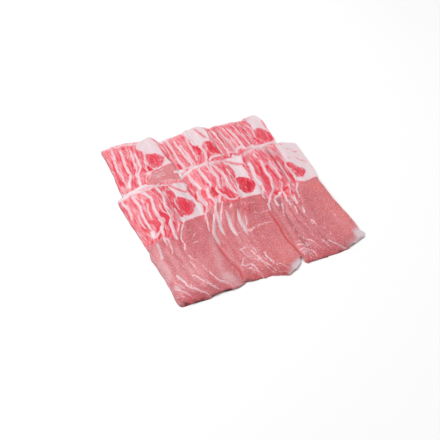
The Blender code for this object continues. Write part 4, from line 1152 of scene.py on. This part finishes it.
def marks_of(piece, u, v, x, y):
    """Fat, redness, tints, painted shade and painted highlight at points this far from a slice's left side
    and far end and at these places on the table."""
    rough_x, rough_y = x + uneven("rough_across", x, y), y + uneven("rough_along", x, y)
    past = height_of_line(LEAN_FROM[piece.bundle], x) - y + uneven("lean_from", x, y)
    lean = smooth_step(-0.6, 0.6, past)
    red = laid(RED_LINES, rough_x, rough_y, 0.0, lambda half: half + 2.0,
               lambda half, depth, away, share: depth * (1.0 - smooth_step(half - 0.6, half + 0.9, away)))
    deep, fat = streaky_end(piece, v, x, y, rough_x, rough_y, red)
    deep = np.where(past > 0.0, 0.9 * red, deep)
    fat = np.maximum(np.where(past > 0.0, NOWHERE, fat), fat_lines(x, y))
    reach = np.maximum(piece.far(u * MM) / MM, 0.0)
    fat = np.maximum(fat, FAR_RIM + 0.8 * reach + uneven("far_rim", x, y) - v)

    tints = {tint: start + uneven(tint, x, y)
             for tint, start in zip(("pale", "warm", "mauve"), LEAN_TINTS[piece.bundle])}
    tints["deep"] = deep
    for tint, amount, middle_x, middle_y, wide, long in SPOTS:
        near = np.exp(-((x - middle_x) / wide) ** 2 - ((y - middle_y) / long) ** 2)
        tints[tint] = tints[tint] + amount * near * (lean if tint != "pale" else 1.0)

    # Whitish skin, and painted highlight on the rounded far ends and on the right side of bundle d
    haze = laid(FILMS, rough_x, rough_y, 0.0, lambda half: half + 1.0,
                lambda half, strength, away, share: strength
                * (1.0 - smooth_step(0.0, 1.25 * half + 0.3, away)))
    clear = np.clip(haze, 0.0, 1.0)
    # Painted reddish shade along the near edge, where the ends roll down, and in the creases; weaker under
    # the whitish skin
    near_edge_shade = (0.52 + uneven("near_edge_shade", x, y)) * (1.0 - smooth_step(0.0, 13.0, inward(x, y)))
    crease = np.maximum(creases(x, y), near_edge_shade * (1.0 - 0.85 * clear))
    # Painted shade on the undersides at the near edge, along the outer left sides of slices a1 and d1, and in
    # the dark gaps listed in SHADED
    shade = 0.65 * (1.0 - smooth_step(0.3, 2.0, inward(x, y))) * (0.6 + uneven("near_shade", x, y))
    if piece.key in ("a1", "d1"):
        left_shade = 0.6 * (1.0 - smooth_step(0.1, 1.3, u)) * (0.8 + uneven("left_shade", v, v))
        shade = np.maximum(shade, left_shade)
    for strength, middle_x, middle_y, radius in SHADED:
        near = np.exp(-((x - middle_x) / radius) ** 2 - ((y - middle_y) / (0.6 * radius)) ** 2)
        shade = np.maximum(shade, strength * near)
    # Whitish skin to the right of each blade, painted shadow to its left
    for width, strength, *numbers in FINS:
        line = rounded(line_of(numbers), False)
        away, share = to_line(x, y, line)
        right = x > np.interp(-y, -line[:, 1], line[:, 0])
        taper = hump(share, 5.0)
        film = strength * (1.0 - smooth_step(0.35 * width * taper, width * taper + 0.1, away))
        haze = np.where(right, np.maximum(haze, film), haze)
        fat = np.maximum(fat, 0.75 * taper - away)
        fin_shadow = 0.6 * taper * (1.0 - smooth_step(0.8, 2.4, away))
        crease = np.where(right, crease, np.maximum(crease, fin_shadow))
    shade = shade * (1.0 - 0.6 * np.clip(haze, 0.0, 1.0))
    return {"fat": fat, "lean": lean, "haze": haze, "crease": crease, "shade": shade, **tints}


# ---------------------------------------------------------------- materials

def paint(red, green, blue):
    """Colour from its usual values out of 255."""
    values = [c / 255.0 for c in (red, green, blue)]
    return tuple(c / 12.92 if c <= 0.04045 else ((c + 0.055) / 1.055) ** 2.4 for c in values)


class Nodes:
    """Short ways to add and join the nodes of one material."""

    def __init__(self, material):
        material.use_nodes = True
        self.tree = material.node_tree
        self.shader = self.tree.nodes["Principled BSDF"]

    def put(self, socket, value):
        if isinstance(value, bpy.types.NodeSocket):
            self.tree.links.new(value, socket)
        elif isinstance(value, tuple) and len(value) == 3 and socket.type == "RGBA":
            socket.default_value = (*value, 1.0)
        else:
            socket.default_value = value

    def mark(self, name):
        node = self.tree.nodes.new("ShaderNodeAttribute")
        node.attribute_type = "GEOMETRY"
        node.attribute_name = name
        return node.outputs["Fac"]

    def math(self, operation, first, second=0.0):
        node = self.tree.nodes.new("ShaderNodeMath")
        node.operation = operation
        self.put(node.inputs[0], first)
        self.put(node.inputs[1], second)
        return node.outputs[0]

    def spread(self, value, low, high, to_low=0.0, to_high=1.0):
        """Value mapped smoothly from one range to another."""
        node = self.tree.nodes.new("ShaderNodeMapRange")
        node.interpolation_type = "SMOOTHSTEP"
        for name, number in (("Value", value), ("From Min", low), ("From Max", high), ("To Min", to_low),
                             ("To Max", to_high)):
            self.put(node.inputs[name], number)
        return node.outputs["Result"]

    def mix(self, share, first, second):
        node = self.tree.nodes.new("ShaderNodeMix")
        node.data_type = "RGBA"
        self.put(node.inputs["Factor"], share)
        self.put(node.inputs[6], first)
        self.put(node.inputs[7], second)
        return node.outputs[2]

    def grain(self, across, along, turn, stretch_across, stretch_along, detail, warp):
        """Random values around one half on the slice's millimetres, turned by some degrees and scaled."""
        joined = self.tree.nodes.new("ShaderNodeCombineXYZ")
        self.put(joined.inputs[0], across)
        self.put(joined.inputs[1], along)
        turned = self.tree.nodes.new("ShaderNodeVectorRotate")
        turned.rotation_type = "Z_AXIS"
        self.put(turned.inputs["Vector"], joined.outputs[0])
        turned.inputs["Angle"].default_value = math.radians(turn)
        scaled = self.tree.nodes.new("ShaderNodeVectorMath")
        scaled.operation = "MULTIPLY"
        self.put(scaled.inputs[0], turned.outputs[0])
        scaled.inputs[1].default_value = (stretch_across, stretch_along, 1.0)
        node = self.tree.nodes.new("ShaderNodeTexNoise")
        self.put(node.inputs["Vector"], scaled.outputs[0])
        node.inputs["Scale"].default_value = 1.0
        node.inputs["Detail"].default_value = detail
        node.inputs["Distortion"].default_value = warp
        return node.outputs["Fac"]

    def layers(self, body, *layers):
        """Colours laid one over the other, each by its share."""
        for share, colour in layers:
            body = self.mix(share, body, tuple(colour))
        return body


GRAIN_APART = 40.0  # so that no slice has its neighbour's grain
GRAINS = (  # turn in degrees, grains per millimetre across and along, detail and warp
    (4.0, 0.9, 0.07, 3.0, 0.3),  # lengthwise
    (9.0, 0.62, 0.085, 2.0, 0.6),  # strands
    (0.0, 0.8, 0.55, 3.0, 0.4),  # ragged
    (38.0, 1.3, 0.16, 3.0, 0.2),  # fibres
    (20.0, 0.12, 0.09, 2.0, 0.5),  # cloud
    (52.0, 0.85, 0.4, 1.0, 0.0),  # flecks
    (0.0, 0.9, 0.75, 2.0, 0.0),  # speckle
)
SHADER = {"Subsurface Weight": 0.25, "Subsurface Radius": (1.0, 0.4, 0.3), "Subsurface Scale": 0.0015,
          "Specular IOR Level": 0.35, "Coat Weight": 0.12, "Coat Roughness": 0.3}
BUMP = {"Strength": 0.5, "Distance": 0.0003}


def pork_material(colours):
    material = bpy.data.materials.get("raw_pork")
    if material:
        return material
    material = bpy.data.materials.new("raw_pork")
    n = Nodes(material)
    across, along, fat, deep, lean = map(n.mark, ("across", "along", "fat", "deep", "lean"))
    pale, warm, mauve, haze, crease, shade = map(n.mark, ("pale", "warm", "mauve", "haze", "crease", "shade"))
    grains = [n.grain(across, along, *row) for row in GRAINS]
    lengthwise, strands, ragged, fibres, cloud, flecks, speckle = grains

    redness = n.math("ADD", deep, n.spread(lengthwise, 0.3, 0.7, -0.26, 0.26))
    redness = n.math("ADD", redness, n.spread(speckle, 0.3, 0.7, -0.16, 0.16))
    pale_strands = n.math("MULTIPLY", n.spread(strands, 0.48, 0.66, 0.0, 0.75),
                          n.spread(deep, 0.4, 0.75, 1.0, 0.0))
    belly = n.layers(tuple(colours.salmon),
                     (n.spread(redness, 0.0, 0.5), colours.red),
                     (n.spread(redness, 0.5, 0.85), colours.crimson),
                     # The darkest reds are partly painted shade
                     (n.spread(redness, 0.95, 1.45), colours.dark_red),
                     (pale_strands, colours.thin_fat))
    meat = n.layers(tuple(colours.lean),
                    (mauve, colours.mauve),
                    (warm, colours.warm),
                    (n.math("ADD", pale, n.spread(cloud, 0.3, 0.7, -0.15, 0.15)), colours.pale),
                    (deep, colours.crimson_lean),
                    (n.spread(fibres, 0.45, 0.7, 0.0, 0.62), colours.pale),
                    (n.spread(speckle, 0.33, 0.55, 0.6, 0.0), colours.crimson_lean),
                    (n.spread(ragged, 0.38, 0.55, 0.4, 0.0), colours.crimson_lean),
                    (n.spread(ragged, 0.5, 0.68, 0.0, 0.45), colours.pale),
                    (n.spread(flecks, 0.6, 0.72, 0.0, 0.6), colours.thin_fat))
    in_fat = n.math("ADD", fat, n.spread(ragged, 0.3, 0.7, -0.35, 0.35))
    white = n.mix(n.spread(n.math("ADD", in_fat, n.spread(strands, 0.3, 0.7, -0.5, 0.5)), 0.2, 1.9),
                  tuple(colours.thin_fat), tuple(colours.fat))
    body = n.mix(n.spread(in_fat, -0.4, 0.35, 0.0, 0.95), n.mix(lean, belly, meat), white)
    # Whitish skin with painted highlight, then painted shade in the creases, along the near edge and at the
    # outer left sides
    body = n.layers(body, (haze, colours.film), (n.math("MULTIPLY", crease, 0.88), colours.crease),
                    (shade, colours.shade))

    n.put(n.shader.inputs["Base Color"], body)
    n.put(n.shader.inputs["Roughness"], n.spread(ragged, 0.3, 0.7, 0.34, 0.5))
    bump = n.tree.nodes.new("ShaderNodeBump")
    for node, values in ((n.shader, SHADER), (bump, BUMP)):
        for name, value in values.items():
            node.inputs[name].default_value = value
    height = n.math("ADD", fibres, n.math("MULTIPLY", lengthwise, 0.6))
    n.put(bump.inputs["Height"], n.math("ADD", height, n.spread(in_fat, -0.3, 0.5, 0.0, 0.8)))
    n.put(n.shader.inputs["Normal"], bump.outputs[0])
    return material


# ---------------------------------------------------------------- add-on

PILE = {}


def colour(name, description, default):
    return FloatVectorProperty(name=name, description=description, default=default, size=3, min=0.0, max=1.0,
                               subtype="COLOR")


class PorkSizes(bpy.types.PropertyGroup):
    leaf: FloatProperty(name="Leaf", description="Thickness of one of a slice's two leaves", default=0.8 * MM,
                        min=0.0005, max=0.003, unit="LENGTH", precision=4)
    cling: FloatProperty(name="Gap", description="Between a slice and what is under it", default=0.1 * MM,
                         min=0.0, max=0.001, unit="LENGTH", precision=4)
    bend: FloatVectorProperty(name="Bend", description="Tightest radii over an edge, across and along",
                              default=(3 * MM, 40 * MM), size=2, min=0.001, max=0.5, unit="LENGTH")
    bridge: FloatVectorProperty(name="Bridge", description="Tightest radii in a hollow, across and along",
                                default=(9 * MM, 90 * MM), size=2, min=0.001, max=0.5, unit="LENGTH")


class PorkColours(bpy.types.PropertyGroup):
    fat: colour("Fat", "Thick fat", paint(238, 219, 224))
    thin_fat: colour("Thin fat", "Fine streaks of fat, pinker than thick fat", paint(243, 192, 200))
    salmon: colour("Salmon", "Palest meat of the streaky end", paint(242, 150, 157))
    red: colour("Red", "Meat of the streaky end", paint(234, 100, 118))
    crimson: colour("Crimson", "Deep red meat", paint(232, 46, 70))
    # Partly the meat's own deep red, partly painted shade at the edges of the slices
    dark_red: colour("Dark red", "Darkest places between the streaks", paint(165, 22, 46))
    lean: colour("Lean", "Meat of the lean part", paint(205, 110, 117))
    mauve: colour("Mauve", "Duller meat of the lean part", paint(191, 114, 122))
    warm: colour("Warm", "Warmer meat of the lean part", paint(230, 126, 122))
    pale: colour("Pale", "Paler meat of the lean part", paint(232, 156, 161))
    crimson_lean: colour("Red lean", "Redder meat of the lean part", paint(200, 66, 80))
    # Whitish skin, and painted highlight along the far ends and on the right side of bundle d
    film: colour("Film", "Whitish skin and corners", paint(224, 208, 214))
    # Painted reddish shade in the hollows between the bundles, beside the blades of fat and along the near
    # edge
    crease: colour("Crease", "Hollows between the bundles", paint(208, 72, 76))
    # Painted shade on the undersides and in the gaps at the near edge and along the outer left sides
    shade: colour("Shade", "Dark undersides at the near edge", paint(84, 42, 46))


class PorkStage(bpy.types.PropertyGroup):
    floor: colour("Floor", "Colour of the floor", (1.0, 1.0, 1.0))
    sky: FloatProperty(name="Sky", description="Strength of the even light", default=0.5, min=0.0)
    key: FloatProperty(name="Key", description="Power of the light behind", default=20.5, min=0.0)
    fill: FloatProperty(name="Fill", description="Power of the light in front", default=6.8, min=0.0)
    view_angle: FloatProperty(name="View angle", description="Width of the camera's view", subtype="ANGLE",
                              default=math.radians(36.0), min=0.1, max=2.0)


class PORK_OT_lay_bundle(bpy.types.Operator):
    """Lays the six folded slices of one bundle on the pile"""

    bl_idname = "pork.lay_bundle"
    bl_label = "Lay bundle"

    bundle: StringProperty(name="Bundle", description="Letter of the bundle, from a to f", default="a")

    def execute(self, context):
        sizes = context.scene.pork_sizes
        if self.bundle == "a":
            slices = plan_of_slices()
            middle = middle_of(slices)
            for piece in slices:
                piece.thickness, piece.middle = sizes.leaf, middle
            PILE.update(slices=slices, middle=middle, map=HeightMap(TABLE_CORNER, TABLE_CELLS))
        if "map" not in PILE:
            raise RuntimeError("bundle a is laid first")
        for piece in [piece for piece in PILE["slices"] if piece.bundle == self.bundle]:
            under = drape(piece, PILE["map"], sizes)
            add_to_pile(piece, PILE["map"], under)
            points = ring_points(piece, under)
            mesh = mesh_of(piece, points)
            x, y, _, across, along = np.moveaxis(points, -1, 0) / MM
            values = {"across": across + GRAIN_APART * piece.seed, "along": along}
            values.update(marks_of(piece, across, along, x, y))
            for name, numbers in values.items():
                store(mesh, name, numbers)
            mesh.materials.append(pork_material(context.scene.pork_colours))
            thing = bpy.data.objects.new(f"pork_{piece.key}", mesh)
            context.collection.objects.link(thing)
            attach(thing, "root")
            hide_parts(piece.name)
        return {"FINISHED"}


TARGET = (-0.0162, -0.0310)  # what the camera looks at, on the pile's plan
CAMERA_FROM = (-0.1847, -0.4884, 0.5551)  # from the target
CAMERA_ROLL = -2.87  # degrees
HALF_FLOOR = 3.0
FLOOR_CORNERS = [(-HALF_FLOOR, -HALF_FLOOR, 0), (HALF_FLOOR, -HALF_FLOOR, 0), (HALF_FLOOR, HALF_FLOOR, 0),
                 (-HALF_FLOOR, HALF_FLOOR, 0)]
LIGHTS = {"key": ((-0.8, 0.8, 1.44), 1.12), "fill": ((1.12, -0.8, 1.28), 1.44)}  # places and sizes


class PORK_OT_stage(bpy.types.Operator):
    """Sets up the floor, the lights and the camera"""

    bl_idname = "pork.stage"
    bl_label = "Set the stage"

    def execute(self, context):
        scene = context.scene
        scene.view_settings.view_transform = "Standard"
        stage = scene.pork_stage
        middle = PILE["middle"]
        target = Vector((TARGET[0] - middle[0], TARGET[1] - middle[1], 0.0))
        camera = bpy.data.objects.new("camera", bpy.data.cameras.new("camera"))
        camera.location = target + Vector(CAMERA_FROM)
        aim = (-Vector(CAMERA_FROM)).to_track_quat("-Z", "Y").to_matrix().to_4x4()
        camera.matrix_world = (Matrix.Translation(camera.location) @ aim
                               @ Matrix.Rotation(math.radians(CAMERA_ROLL), 4, "Z"))
        camera.data.sensor_fit = "HORIZONTAL"
        camera.data.angle = stage.view_angle
        camera.data.clip_start = 0.01
        context.collection.objects.link(camera)
        scene.camera = camera
        floor_mesh = bpy.data.meshes.new("floor")
        floor_mesh.from_pydata(FLOOR_CORNERS, [], [(0, 1, 2, 3)])
        floor = bpy.data.objects.new("floor", floor_mesh)
        floor_paint = bpy.data.materials.new("floor_paint")
        floor_paint.use_nodes = True
        shader = floor_paint.node_tree.nodes["Principled BSDF"]
        shader.inputs["Base Color"].default_value = (*stage.floor, 1.0)
        shader.inputs["Roughness"].default_value = 0.9
        floor_mesh.materials.append(floor_paint)
        context.collection.objects.link(floor)
        world = scene.world or bpy.data.worlds.new("studio")
        scene.world = world
        world.use_nodes = True
        sky = world.node_tree.nodes["Background"]
        sky.inputs["Color"].default_value = (1, 1, 1, 1)
        sky.inputs["Strength"].default_value = stage.sky
        for name, (place, size) in LIGHTS.items():
            lamp = bpy.data.lights.new(f"{name}_light", "AREA")
            lamp.size = size
            lamp.energy = getattr(stage, name)
            light = bpy.data.objects.new(f"{name}_light", lamp)
            light.location = place
            light.rotation_euler = (-Vector(place)).to_track_quat("-Z", "Y").to_euler()
            context.collection.objects.link(light)
        return {"FINISHED"}


class PORK_PT_panel(bpy.types.Panel):
    """Lists the pieces"""

    bl_label = "Sliced pork"
    bl_idname = "PORK_PT_panel"
    bl_space_type = "VIEW_3D"
    bl_region_type = "UI"
    bl_category = "Sliced pork"

    def draw(self, context):
        for bundle in BUNDLES:
            self.layout.operator("pork.lay_bundle", text=f"Lay bundle {bundle}").bundle = bundle
        self.layout.operator("pork.stage")
        for group in GROUPS:
            settings = getattr(context.scene, group)
            for name in settings.bl_rna.properties.keys():
                if name not in ("rna_type", "name"):
                    self.layout.prop(settings, name)


GROUPS = {"pork_sizes": PorkSizes, "pork_colours": PorkColours, "pork_stage": PorkStage}
CLASSES = (*GROUPS.values(), PORK_OT_lay_bundle, PORK_OT_stage, PORK_PT_panel)


def register():
    for item in CLASSES:
        bpy.utils.register_class(item)
    for name, group in GROUPS.items():
        setattr(bpy.types.Scene, name, PointerProperty(type=group))


def unregister():
    for name in GROUPS:
        delattr(bpy.types.Scene, name)
    for item in reversed(CLASSES):
        bpy.utils.unregister_class(item)


def main():
    register()
    for bundle in BUNDLES:
        bpy.ops.pork.lay_bundle(bundle=bundle)
    bpy.ops.pork.stage()


if __name__ == "__main__":
    main()
